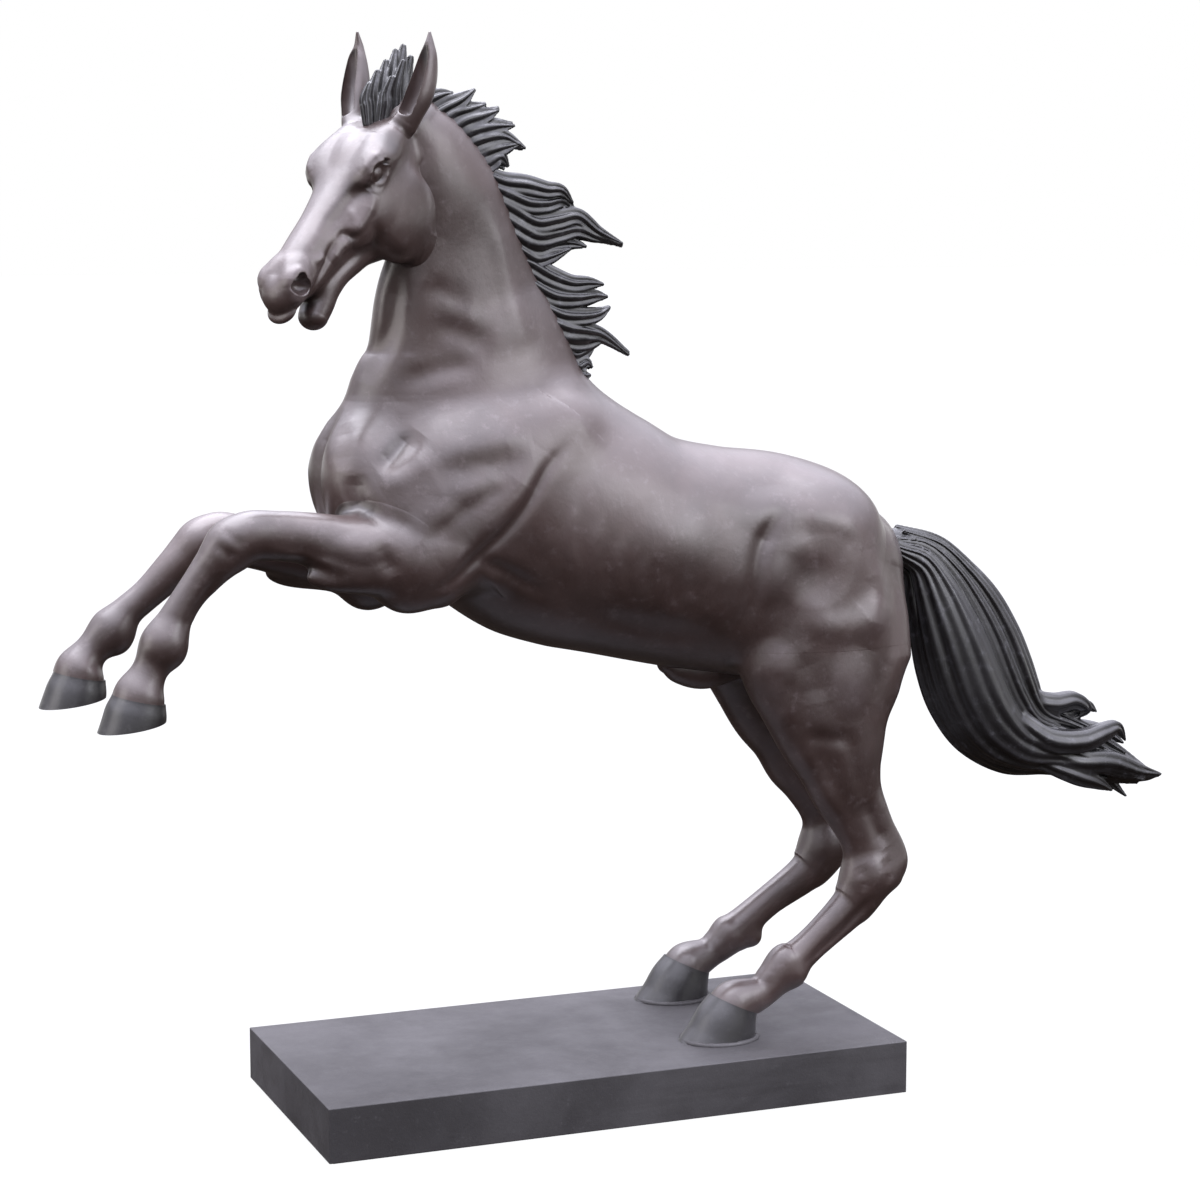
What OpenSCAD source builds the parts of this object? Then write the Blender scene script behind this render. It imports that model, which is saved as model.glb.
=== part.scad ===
// Rearing horse: hollow bronze castings on a fabricated bronze base, held up by a steel armature.
// Millimetres. The origin is the centre of the base's underside, +Z is up, the horse faces -X and
// its left side faces -Y.

/* [Base] */
// Length of the base, along the horse
base_length = 1080; // [1000:10:1300]
// Width of the base
base_width = 520; // [480:10:700]
// Height of the base
base_height = 95; // [80:5:140]
// Thickness of the bronze plates that the base is made of
plate = 6; // [5:1:8]
// Radius of the four anchor bolt holes inside the base
anchor_hole_r = 7; // [5:0.5:9]

/* [Horse] */
// How far the horse stands from the base's centre line, towards its own right
horse_shift = 25; // [0:5:30]
// Wall thickness of the bronze castings
cast_wall = 6; // [5:0.5:7]

/* [Armature] */
// Radius of the steel bars inside the hind legs
leg_bar_r = 10; // [8:1:11]
// Radius of the steel tube along the back
spine_r = 24; // [18:1:30]
// Radius of the threaded studs under the hind hooves
stud_r = 8; // [6:1:10]

/* [Hidden] */

bronze = [0.27, 0.21, 0.19];
dark_bronze = [0.17, 0.16, 0.16];
base_bronze = [0.29, 0.28, 0.28];
steel = [0.62, 0.63, 0.65];

body_sides = 20;
limb_sides = 12;
lock_sides = 8;
far = 3000;
clear = 0.1;

// ---- The horse. Stations are [x, y, z, depth, width, yaw] in the horse's own frame, whose floor is the
// base's top and whose middle plane is y = 0. Depth is the half size in the plane of the bend, width is
// the half size across it, and yaw turns the section about the vertical.

torso = [
    [-460, 0, 1015, 40, 50, 0], [-440, 0, 1020, 95, 95, 0], [-395, 0, 1025, 135, 120, 0],
    [-320, 0, 1020, 165, 140, 0], [-220, 0, 1000, 200, 158, 0], [-100, 0, 965, 226, 170, 0],
    [20, 0, 925, 224, 180, 0], [134, 0, 884, 207, 182, 0], [252, 0, 858, 206, 176, 0],
    [371, 0, 840, 208, 172, 0], [470, 0, 812, 202, 168, 0], [560, 0, 780, 178, 150, 0],
    [625, 0, 760, 132, 115, 0], [660, 0, 755, 60, 60, 0]];

neck_line = [
    [-165, 0, 1000, 235, 130, 0], [-180, 0, 1100, 255, 130, 0], [-192, 0, 1176, 228, 116, 0],
    [-190, -3, 1255, 190, 97, 4], [-205, -10, 1335, 155, 82, 9], [-212, -20, 1420, 128, 73, 14],
    [-232, -32, 1505, 108, 67, 20], [-268, -44, 1580, 86, 62, 26], [-312, -52, 1630, 50, 50, 30]];

shoulder = [
    [0, 70, 1135, 30, 30, 0], [-60, 84, 1100, 70, 52, 0], [-180, 100, 1020, 130, 70, 0],
    [-290, 110, 930, 150, 74, 0], [-345, 118, 862, 105, 66, 0], [-350, 120, 830, 40, 30, 0]];

// The head's own axes: down the face from the poll, towards the jaw, and towards its left side
head_yaw = 30;
head_pitch = 46;
head_length = 430;
poll = [-360, -55, 1655];
head_forward = [-cos(head_yaw), -sin(head_yaw), 0];
face_axis = cos(head_pitch) * head_forward - [0, 0, sin(head_pitch)];
jaw_axis = -sin(head_pitch) * head_forward - [0, 0, cos(head_pitch)];
left_axis = [sin(head_yaw), -cos(head_yaw), 0];

function in_head(down, deep, left = 0) = poll + face_axis * down + jaw_axis * deep + left_axis * left;

// A section of the head: how far down the face it is, where the face and the jaw are, and its half width
function head_section(down, face, jaw, width) =
    [each in_head(down, (face + jaw) / 2), (jaw - face) / 2, width, head_yaw];

head_line = [
    head_section(-20, 6, 80, 44), head_section(5, -6, 130, 68), head_section(55, -12, 178, 84),
    head_section(110, -14, 200, 90), head_section(165, -10, 198, 84), head_section(220, -2, 166, 64),
    head_section(275, 2, 130, 50), head_section(325, 4, 114, 44), head_section(375, 2, 124, 46),
    head_section(410, 10, 130, 40), head_section(head_length, 45, 112, 22)];

left_ear_line = [
    [each in_head(20, 14, 58), 26, 24, 20], [each in_head(-20, 2, 70), 27, 26, 20],
    [each in_head(-62, -22, 78), 24, 22, 20], [each in_head(-98, -48, 80), 13, 12, 20],
    [each in_head(-114, -60, 80), 3, 3, 20]];
right_ear_line = [
    [each in_head(20, 14, -58), 26, 24, 20], [each in_head(-20, 2, -72), 27, 26, 20],
    [each in_head(-62, -24, -82), 24, 22, 20], [each in_head(-98, -54, -82), 13, 12, 20],
    [each in_head(-114, -69, -80), 3, 3, 20]];
forelock_line = [
    [each in_head(40, 10), 26, 22, head_yaw], [each in_head(5, 8), 28, 34, head_yaw],
    [each in_head(-30, -6), 26, 34, head_yaw], [each in_head(-62, -22), 20, 26, head_yaw],
    [each in_head(-100, -46), 6, 8, head_yaw]];

mane_upper_line = [
    [-300, -55, 1640, 30, 24, 0], [-262, -50, 1642, 36, 26, 0], [-215, -42, 1640, 48, 30, 0],
    [-165, -35, 1618, 54, 28, 0], [-118, -30, 1602, 36, 20, 0], [-88, -30, 1602, 10, 8, 0]];
mane_middle_line = [
    [-150, -25, 1498, 60, 26, 0], [-90, -20, 1480, 58, 30, 0], [-30, -18, 1462, 52, 26, 0],
    [35, -20, 1440, 28, 16, 0], [92, -22, 1421, 5, 5, 0]];
mane_lower_line = [
    [-85, -8, 1355, 86, 28, 0], [-25, -5, 1318, 88, 32, 0], [30, -5, 1288, 62, 24, 0],
    [75, -8, 1255, 28, 14, 0], [112, -10, 1230, 5, 5, 0]];

left_fore = [
    [-300, -118, 880, 60, 50, 0], [-350, -120, 892, 74, 58, 0], [-403, -121, 905, 69, 56, 0],
    [-454, -122, 918, 60, 50, 0], [-510, -122, 938, 47, 42, 0], [-570, -122, 945, 45, 38, 0],
    [-625, -122, 944, 46, 42, 0], [-664, -121, 914, 39, 35, 0], [-708, -120, 868, 30, 26, 0],
    [-742, -120, 820, 31, 27, 0], [-765, -120, 774, 38, 32, 0], [-790, -120, 728, 28, 27, 0],
    [-806, -120, 694, 42, 41, 0], [-818, -120, 640, 44, 42, 0]];
left_fore_foot = [[-806, -120, 694, 44, 43, 0], [-812, -120, 668, 50, 48, 0], [-820, -120, 636, 57, 53, 0]];

right_fore = [
    [-300, 118, 850, 60, 50, 0], [-345, 118, 862, 70, 58, 0], [-398, 117, 878, 66, 56, 0],
    [-484, 116, 892, 52, 44, 0], [-550, 115, 905, 45, 38, 0], [-616, 115, 920, 46, 42, 0],
    [-668, 115, 888, 38, 34, 0], [-735, 115, 830, 30, 26, 0], [-775, 115, 797, 32, 28, 0],
    [-800, 115, 768, 38, 32, 0], [-836, 115, 728, 28, 27, 0], [-857, 115, 704, 42, 41, 0],
    [-868, 115, 650, 44, 42, 0]];
right_fore_foot = [[-857, 115, 704, 44, 43, 0], [-863, 115, 676, 50, 48, 0], [-870, 115, 645, 57, 53, 0]];

left_hind = [
    [475, -70, 860, 120, 70, 0], [455, -88, 770, 150, 82, 0], [442, -105, 681, 158, 76, 0],
    [446, -115, 601, 128, 68, 0], [460, -120, 525, 90, 56, 0], [488, -125, 436, 66, 45, 0],
    [524, -130, 349, 54, 38, 0], [542, -132, 285, 62, 40, 0], [484, -134, 208, 38, 30, 0],
    [428, -136, 164, 34, 28, 0], [368, -138, 122, 42, 34, 0], [314, -140, 74, 30, 29, 0],
    [264, -140, 60, 45, 42, 0], [246, -140, 16, 46, 44, 0]];
left_hind_foot = [[262, -140, 62, 48, 45, 0], [248, -140, 32, 57, 50, 0], [236, -140, 0, 64, 54, 0]];

right_hind = [
    [480, 70, 860, 120, 70, 0], [460, 88, 770, 150, 82, 0], [452, 105, 681, 158, 76, 0],
    [462, 115, 601, 128, 68, 0], [484, 120, 520, 90, 56, 0], [518, 125, 436, 62, 45, 0],
    [566, 130, 349, 54, 38, 0], [585, 132, 287, 62, 40, 0], [526, 134, 214, 38, 30, 0],
    [460, 136, 172, 34, 28, 0], [378, 138, 112, 40, 33, 0], [332, 140, 76, 29, 28, 0],
    [292, 140, 60, 45, 42, 0], [274, 140, 16, 46, 44, 0]];
right_hind_foot = [[290, 140, 62, 48, 45, 0], [276, 140, 32, 57, 50, 0], [264, 140, 0, 64, 54, 0]];

sheath_line = [
    [178, 0, 672, 18, 20, 0], [205, 0, 655, 34, 34, 0], [262, 0, 650, 40, 38, 0], [325, 0, 660, 36, 36, 0]];

tail_line = [
    [630, 0, 868, 36, 30, 0], [690, 0, 858, 42, 36, 0], [730, 0, 815, 64, 46, 0],
    [762, 0, 760, 90, 56, 0], [792, 0, 705, 106, 62, 0], [820, 0, 640, 114, 64, 0],
    [848, 0, 580, 112, 62, 0], [886, 0, 525, 100, 58, 0], [935, 0, 488, 82, 54, 0],
    [1010, 0, 470, 72, 48, 0], [1085, 0, 440, 62, 42, 0], [1140, 0, 408, 50, 34, 0],
    [1200, 0, 382, 28, 20, 0], [1244, 0, 384, 5, 5, 0]];

// ---- Seams, where the castings are welded together: [a point, the direction of the next casting]
neck_seam = [[-180, 0, 1200], [0.05, 0, 1]];
front_barrel_seam = [[-60, 0, 950], [1, 0, 0]];
rear_barrel_seam = [[300, 0, 850], [1, 0, 0]];
elbow_seam = [[-335, 0, 880], [-1, 0, 0.2]];
left_knee_seam = [[-655, -121, 922], [-0.8, 0, -0.7]];
right_knee_seam = [[-655, 115, 898], [-0.8, 0, -0.7]];
thigh_seam = [[470, 0, 700], [0, 0, -1]];
stifle_seam = [[470, 0, 535], [0, 0, -1]];
left_hock_seam = [[505, -134, 226], [-0.75, 0, -0.66]];
right_hock_seam = [[545, 134, 228], [-0.75, 0, -0.66]];
tail_seam = [[848, 0, 580], [0.3, 0, -1]];

// ---- Fasteners and armature
stud_spread = 28;
sole = 12;
backing = 12;
washer_r = 17;
washer_height = 3;
nut_height = 14;
nut_r = 15;
stud_top = 45;
stud_reach = plate + backing + washer_height + nut_height + 6;
hoof_places = [[250, -140, 0], [278, 140, 0]];
backing_size = [140, 100, backing];
rib_places = [-360, -150, 80, 400];
lug_size = [104, 90, 10];
lug_place = [(base_length - lug_size[0]) / 2 - plate, (base_width - lug_size[1]) / 2 - plate];
anchor_spacing = [base_length - 140, base_width - 100];
hip = [470, 0, 845];
hip_spread = 60;
spine_line = [[450, 0, 845], [150, 0, 895], [-150, 0, 985]];
neck_bar_line = [[-150, 0, 985], [-185, 0, 1200], [-215, -20, 1420], [-240, -34, 1510]];

// ---- Functions for sections

function clamped(list, i) = list[max(0, min(len(list) - 1, i))];
function unit(v) = v / norm(v);
function place(s) = [s[0], s[1], s[2]];
function heading(list, i) = unit(place(clamped(list, i + 1)) - place(clamped(list, i - 1)));
function ring(list, i, sides) =
    let (s = list[i], side = [-sin(s[5]), cos(s[5]), 0], bend = unit(cross(heading(list, i), side)))
    [for (k = [0:sides - 1]) let (turn = 360 * k / sides)
        place(s) + bend * s[3] * sin(turn) + side * s[4] * cos(turn)];
function mirrored(list) = [for (s = list) [s[0], -s[1], s[2], s[3], s[4], -s[5]]];
function offset_by(list, by) = [for (s = list)
    [s[0], s[1], s[2], max(s[3] + by, 2), max(s[4] + by, 2), s[5]]];
// The same line with its two ends moved inwards
function drawn_in(list, first, last) = [for (i = [0:len(list) - 1])
    let (push = i == 0 ? first : i == len(list) - 1 ? -last : 0)
    [each (place(list[i]) + heading(list, i) * push), list[i][3], list[i][4], list[i][5]]];

// ---- Shapes

// A closed solid through elliptical sections
module loft(list, sides = limb_sides) {
    n = len(list);
    rings = [for (i = [0:n - 1]) each ring(list, i, sides)];
    walls = [for (i = [0:n - 2]) for (k = [0:sides - 1])
        let (a = i * sides + k, b = i * sides + (k + 1) % sides)
        each [[a, b + sides, b], [a, a + sides, b + sides]]];
    first = [for (k = [0:sides - 1]) k];
    last = [for (k = [sides - 1:-1:0]) (n - 1) * sides + k];
    polyhedron(rings, concat(walls, [first, last]));
}

// Everything past a seam
module past(seam) {
    d = unit(seam[1]);
    translate(seam[0]) rotate([0, acos(d[2]), atan2(d[1], d[0])])
        translate([-far / 2, -far / 2, 0]) cube(far);
}

module before(seam) past([seam[0], -seam[1]]);

// A freeform casting is drawn as one mesh
module cast() resize([0, 0, 0]) children();

module on_base() translate([0, horse_shift, base_height]) children();

// The outside of the trunk with its neck and its legs, or with a negative offset its hollow
module trunk(by = 0) {
    ends = by == 0 ? 0 : -by;
    loft(offset_by(drawn_in(torso, ends, ends), by), body_sides);
    loft(offset_by(neck_line, by), body_sides);
    for (side = [shoulder, mirrored(shoulder)])
        loft(offset_by(drawn_in(side, ends, ends), by));
    for (leg = [left_fore, right_fore, left_hind, right_hind])
        loft(offset_by(leg, by));
}

module trunk_shell() {
    difference() {
        trunk();
        trunk(-cast_wall);
    }
}

// The space of a leg past its seam, to trim what it joins
module leg_space(leg, seam) {
    intersection() {
        loft(drawn_in(offset_by(leg, clear), 0, -clear));
        past(seam);
    }
}

// A hollow casting between two seams of one line
module section(list, from, to, sides = limb_sides) {
    color(bronze) on_base() cast() difference() {
        loft(list, sides);
        loft(offset_by(list, -cast_wall), sides);
        before(from);
        past(to);
    }
}

module steel_bar(points, r) {
    color(steel) on_base() loft([for (p = points) [each p, r, r, 0]]);
}

module at_studs() {
    for (hoof = hoof_places) for (side = [-1, 1])
        translate(hoof + [side * stud_spread, horse_shift, base_height]) children();
}

// ---- Base

module base_top_plate() {
    color(base_bronze) difference() {
        translate([-base_length / 2, -base_width / 2, base_height - plate])
            cube([base_length, base_width, plate]);
        at_studs() translate([0, 0, -2 * plate]) cylinder(h = 3 * plate, r = stud_r, $fn = 32);
    }
}

module end_wall(side) {
    color(base_bronze) translate([side * (base_length - plate) / 2 - plate / 2, -base_width / 2, 0])
        cube([plate, base_width, base_height - plate]);
}

module side_wall(side) {
    color(base_bronze) translate([-base_length / 2 + plate, side * (base_width - plate) / 2 - plate / 2, 0])
        cube([base_length - 2 * plate, plate, base_height - plate]);
}

module base_front_wall() end_wall(-1);
module base_rear_wall() end_wall(1);
module base_left_wall() side_wall(-1);
module base_right_wall() side_wall(1);

module base_cross_ribs() {
    color(base_bronze) for (x = rib_places)
        translate([x, -base_width / 2 + plate, base_height / 4])
            cube([plate, base_width - 2 * plate, base_height * 3 / 4 - plate]);
}

module anchor_lugs() {
    color(base_bronze) for (i = [-1, 1]) for (j = [-1, 1]) difference() {
        translate([i * lug_place[0], j * lug_place[1], lug_size[2] / 2])
            cube(lug_size, center = true);
        translate([i * anchor_spacing[0] / 2, j * anchor_spacing[1] / 2, -1])
            cylinder(h = lug_size[2] + 2, r = anchor_hole_r, $fn = 32);
    }
}

module backing_plates() {
    color(steel) difference() {
        for (hoof = hoof_places)
            translate(hoof + [0, horse_shift, base_height - plate - backing / 2])
                cube(backing_size, center = true);
        at_studs() translate([0, 0, -2 * backing - plate]) cylinder(h = 3 * backing, r = stud_r, $fn = 32);
    }
}

module hoof_studs() {
    color(steel) at_studs() translate([0, 0, -stud_reach])
        cylinder(h = stud_reach + stud_top, r = stud_r, $fn = 32);
}

module stud_washers() {
    color(steel) at_studs() translate([0, 0, -plate - backing - washer_height]) difference() {
        cylinder(h = washer_height, r = washer_r, $fn = 32);
        translate([0, 0, -1]) cylinder(h = washer_height + 2, r = stud_r, $fn = 32);
    }
}

module stud_nuts() {
    color(steel) at_studs() translate([0, 0, -plate - backing - washer_height - nut_height]) difference() {
        cylinder(h = nut_height, r = nut_r, $fn = 6);
        translate([0, 0, -1]) cylinder(h = nut_height + 2, r = stud_r, $fn = 32);
    }
}

// ---- Armature, drawn up the middle of the castings

function leg_bar_line(leg) = [for (i = [len(leg) - 3:-1:1]) place(leg[i])];

module left_leg_bar() steel_bar([each leg_bar_line(left_hind), hip - [0, hip_spread, 0]], leg_bar_r);
module right_leg_bar() steel_bar([each leg_bar_line(right_hind), hip + [0, hip_spread, 0]], leg_bar_r);
module hip_crossbar() {
    color(steel) on_base() translate(hip) rotate([90, 0, 0])
        cylinder(h = 2 * (hip_spread - leg_bar_r), r = leg_bar_r, center = true, $fn = 32);
}
module spine_tube() steel_bar(spine_line, spine_r);
module neck_bar() steel_bar(neck_bar_line, leg_bar_r);

// ---- Castings

module forequarters() {
    color(bronze) on_base() cast() difference() {
        trunk_shell();
        past(neck_seam);
        past(front_barrel_seam);
        leg_space(left_fore, elbow_seam);
        leg_space(right_fore, elbow_seam);
    }
}

module barrel() {
    color(bronze) on_base() cast() difference() {
        trunk_shell();
        leg_space(left_hind, thigh_seam);
        leg_space(right_hind, thigh_seam);
        before(front_barrel_seam);
        past(rear_barrel_seam);
        past(neck_seam);
    }
}

module hindquarters() {
    color(bronze) on_base() cast() difference() {
        trunk_shell();
        before(rear_barrel_seam);
        leg_space(left_hind, thigh_seam);
        leg_space(right_hind, thigh_seam);
    }
}

module neck() {
    color(bronze) on_base() cast() difference() {
        loft(neck_line, body_sides);
        loft(offset_by(neck_line, -cast_wall), body_sides);
        before(neck_seam);
        loft(head_line, body_sides);
    }
}

module head() {
    color(bronze) on_base() cast() difference() {
        loft(head_line, body_sides);
        loft(drawn_in(offset_by(head_line, -cast_wall), cast_wall, cast_wall), body_sides);
        loft(offset_by(neck_line, -cast_wall), body_sides);
    }
}

// A solid lock or ear, trimmed where it meets what it grows from
module grown(list, tint = dark_bronze) {
    color(tint) on_base() cast() difference() {
        loft(list, lock_sides);
        loft(head_line, body_sides);
        loft(neck_line, body_sides);
        children();
    }
}

module left_ear() grown(left_ear_line, bronze);
module right_ear() grown(right_ear_line, bronze);
module forelock() {
    grown(forelock_line) {
        loft(left_ear_line, lock_sides);
        loft(right_ear_line, lock_sides);
    }
}
module mane_upper() {
    grown(mane_upper_line) {
        loft(forelock_line, lock_sides);
        loft(left_ear_line, lock_sides);
        loft(right_ear_line, lock_sides);
    }
}
module mane_middle() grown(mane_middle_line);
module mane_lower() grown(mane_lower_line);

module sheath() {
    color(bronze) on_base() cast() difference() {
        loft(sheath_line);
        trunk();
    }
}

module left_forearm() section(left_fore, elbow_seam, left_knee_seam);
module right_forearm() section(right_fore, elbow_seam, right_knee_seam);
module left_thigh() section(left_hind, thigh_seam, stifle_seam);
module right_thigh() section(right_hind, thigh_seam, stifle_seam);
module left_gaskin() section(left_hind, stifle_seam, left_hock_seam);
module right_gaskin() section(right_hind, stifle_seam, right_hock_seam);

// The seam between a pastern and its hoof
function coronet(foot) = [place(foot[0]), heading(foot, 0)];

module left_fore_cannon() section(left_fore, left_knee_seam, coronet(left_fore_foot));
module right_fore_cannon() section(right_fore, right_knee_seam, coronet(right_fore_foot));
module left_hind_cannon() section(left_hind, left_hock_seam, coronet(left_hind_foot));
module right_hind_cannon() section(right_hind, right_hock_seam, coronet(right_hind_foot));

// A hoof is a hollow cup with a thick sole
module hoof(foot) {
    color(dark_bronze) on_base() cast() difference() {
        loft(foot);
        loft(offset_by(drawn_in(foot, -1, sole), -cast_wall));
        children();
    }
}

module left_fore_hoof() hoof(left_fore_foot);
module right_fore_hoof() hoof(right_fore_foot);
module left_hind_hoof() hoof(left_hind_foot) stud_holes();
module right_hind_hoof() hoof(right_hind_foot) stud_holes();

module stud_holes() {
    translate([0, -horse_shift, -base_height]) at_studs()
        translate([0, 0, -1]) cylinder(h = stud_top, r = stud_r, $fn = 32);
}

module tail_upper() {
    color(dark_bronze) on_base() cast() difference() {
        loft(tail_line);
        loft(offset_by(tail_line, -cast_wall));
        past(tail_seam);
        trunk();
    }
}

module tail_lower() {
    color(dark_bronze) on_base() cast() difference() {
        loft(tail_line);
        loft(offset_by(drawn_in(tail_line, cast_wall, 3 * cast_wall), -cast_wall));
        before(tail_seam);
    }
}

base_top_plate();
base_front_wall();
base_rear_wall();
base_left_wall();
base_right_wall();
base_cross_ribs();
anchor_lugs();
backing_plates();
hoof_studs();
stud_washers();
stud_nuts();
left_leg_bar();
right_leg_bar();
hip_crossbar();
spine_tube();
neck_bar();
head();
left_ear();
right_ear();
forelock();
neck();
mane_upper();
mane_middle();
mane_lower();
forequarters();
barrel();
hindquarters();
sheath();
left_forearm();
left_fore_cannon();
left_fore_hoof();
right_forearm();
right_fore_cannon();
right_fore_hoof();
left_thigh();
left_gaskin();
left_hind_cannon();
left_hind_hoof();
right_thigh();
right_gaskin();
right_hind_cannon();
right_hind_hoof();
tail_upper();
tail_lower();
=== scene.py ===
"""A rearing bronze horse on its base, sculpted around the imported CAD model.

The castings are modelled as distance fields: tubes and ellipsoids that flow into each other, with muscles
and creases pushed up or pressed in. Hair is built lock by lock. Each field is meshed, and cut at the welded
seams into one piece a node. Sculpting is done in millimetres of the horse's own frame: its floor is the top
of the base, it faces -X, its left side faces -Y and its middle plane is y = 0."""
import math
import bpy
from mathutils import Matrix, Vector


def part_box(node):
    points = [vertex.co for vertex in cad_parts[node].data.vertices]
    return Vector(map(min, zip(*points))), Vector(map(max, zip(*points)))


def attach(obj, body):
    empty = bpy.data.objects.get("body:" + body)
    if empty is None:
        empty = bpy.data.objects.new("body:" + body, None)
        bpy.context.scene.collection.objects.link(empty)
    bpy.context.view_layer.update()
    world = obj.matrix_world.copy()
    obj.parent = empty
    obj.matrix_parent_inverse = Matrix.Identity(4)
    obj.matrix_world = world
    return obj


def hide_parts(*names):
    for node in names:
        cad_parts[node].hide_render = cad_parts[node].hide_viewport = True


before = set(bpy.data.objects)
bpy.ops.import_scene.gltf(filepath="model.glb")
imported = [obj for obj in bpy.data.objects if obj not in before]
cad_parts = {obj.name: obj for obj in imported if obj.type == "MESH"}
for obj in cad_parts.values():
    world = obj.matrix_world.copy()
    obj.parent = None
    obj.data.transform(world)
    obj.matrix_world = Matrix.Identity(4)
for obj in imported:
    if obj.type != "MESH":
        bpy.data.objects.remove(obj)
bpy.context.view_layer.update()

from concurrent.futures import ThreadPoolExecutor
from types import SimpleNamespace

import bmesh
import bpy
import numpy as np
import openvdb
from mathutils import Vector

MM = 0.001
BODY = "root"
COARSE = 1.0
RANDOM = np.random.default_rng(7)
THREADS = 4
CLOSE = 1e-4  # how near two places count as the same, in the units at hand

plate_low, plate_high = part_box("base_top_plate")
barrel_low, barrel_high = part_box("barrel")
FLOOR = np.array([(plate_low.x + plate_high.x) / 2, (barrel_low.y + barrel_high.y) / 2, plate_high.z])


# ---- Curves and distance shapes

REACH = 48.0  # how far from a surface its distance is worked out
FAR_OUT = 400.0  # the distance given to points beyond every shape's reach
CHUNK = 40000  # how many points are worked out at a time
BLEND_REACH = 1.3  # how far past its own reach a shape still counts, as a share of the blend

THINNEST = 0.8  # the least half size of a tube
FULL_FLUTES = 9  # the half size from which a lock's flutes have their full depth

STROKE_STEP = 3.0  # between a stroke's samples
STROKE_REACH = 2.6  # where a stroke has died away, in widths
FADE_RATE = 3.5  # how fast a stroke fades in from its ends, along a stroke of length 1
END_WEIGHT = 0.02  # how far in from its end a stroke's first sample counts as being
SEEN_THROUGH = 0.8  # how much of the distance along a stroke's through direction isn't counted
THROUGH_REACH = 1.25  # how much further the stroke reaches that way

TONGUE = 8  # how far a leg's tongue reaches past its seam
TONGUE_SLOPE = 0.25  # how steeply the tongue sinks below the surface, over its first stretch
SLOPE_END = 4
BORDER = 8  # the width over which a grown piece's border sinks
BORDER_SINK = 1.2
GROWN_SHARE = 0.95  # how much of the blend's reach a grown piece takes in


def curve_through(rows, step):
    """A smooth curve through rows of numbers, sampled about every step mm along its first three columns."""
    p = np.asarray(rows, float)
    p = np.vstack([2 * p[0] - p[1], p, 2 * p[-1] - p[-2]])
    out = []
    for a, b, c, d in zip(p, p[1:], p[2:], p[3:]):
        n = max(2, int(np.linalg.norm((c - b)[:3]) / step) + 1)
        t = np.arange(n)[:, None] / n
        square, cube = 2 * a - 5 * b + 4 * c - d, 3 * b - a - 3 * c + d
        out.append(b + 0.5 * ((c - a) * t + square * t**2 + cube * t**3))
    return np.vstack(out + [p[-2:-1]])


def unit(v):
    return v / np.maximum(np.linalg.norm(v, axis=-1, keepdims=True), 1e-9)


def mirrored(rows):
    """The same rows on the horse's other side."""
    rows = np.array(rows, float)
    rows[..., 1] *= -1
    if rows.shape[-1] > 5:
        rows[..., 5] *= -1
    return rows


def outside_ellipsoid(u, v, w, a, b, c):
    """About how far (u, v, w) lies outside an ellipsoid of half sizes a, b and c."""
    k0 = np.sqrt((u / a) ** 2 + (v / b) ** 2 + (w / c) ** 2) + 1e-6
    k1 = np.sqrt((u / a**2) ** 2 + (v / b**2) ** 2 + (w / c**2) ** 2) + 1e-8
    return k0 * (k0 - 1) / k1


class Path:
    """Samples along a curve, and the nearest of them to any point."""

    def __init__(self, rows, step):
        self.rows = curve_through(rows, step)
        self.centre = self.rows[:, :3].astype(np.float32)
        self.tangent = unit(np.gradient(self.rows[:, :3], axis=0)).astype(np.float32)
        gaps = np.linalg.norm(np.diff(self.rows[:, :3], axis=0), axis=1)
        self.gap = np.append(gaps, gaps[-1]).astype(np.float32)
        self.middle = self.centre.mean(0)
        self.near = (self.centre - self.middle).T.copy()
        self.half_square = (self.near**2).sum(0) / 2

    def stretch_near(self, p, margin):
        """The range of samples that lie within a margin of the points' box."""
        low, high = p.min(0) - margin, p.max(0) + margin
        found = np.flatnonzero(((self.centre > low) & (self.centre < high)).all(1))
        if not len(found):
            return 0, 0
        return max(found[0] - 1, 0), found[-1] + 2

    def nearest(self, p, first, last):
        """The nearest sample, the one beyond it, how far between their planes, and how far past them."""
        part = slice(first, last)
        i = first + np.argmin(self.half_square[part] - (p - self.middle) @ self.near[:, part], axis=1)
        along = ((p - self.centre[i]) * self.tangent[i]).sum(1)
        way = np.sign(along)
        j = np.clip(i + way.astype(int), 0, len(self.centre) - 1)
        ahead = -way * ((p - self.centre[j]) * self.tangent[j]).sum(1)
        along = np.abs(along)
        between = np.where(i == j, 0, along / (along + np.maximum(ahead, 0) + 1e-6))
        past = np.where(i == j, along, np.maximum(-ahead - 2 * self.gap[i], 0))
        return i, j, between[:, None].astype(np.float32), past


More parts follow.
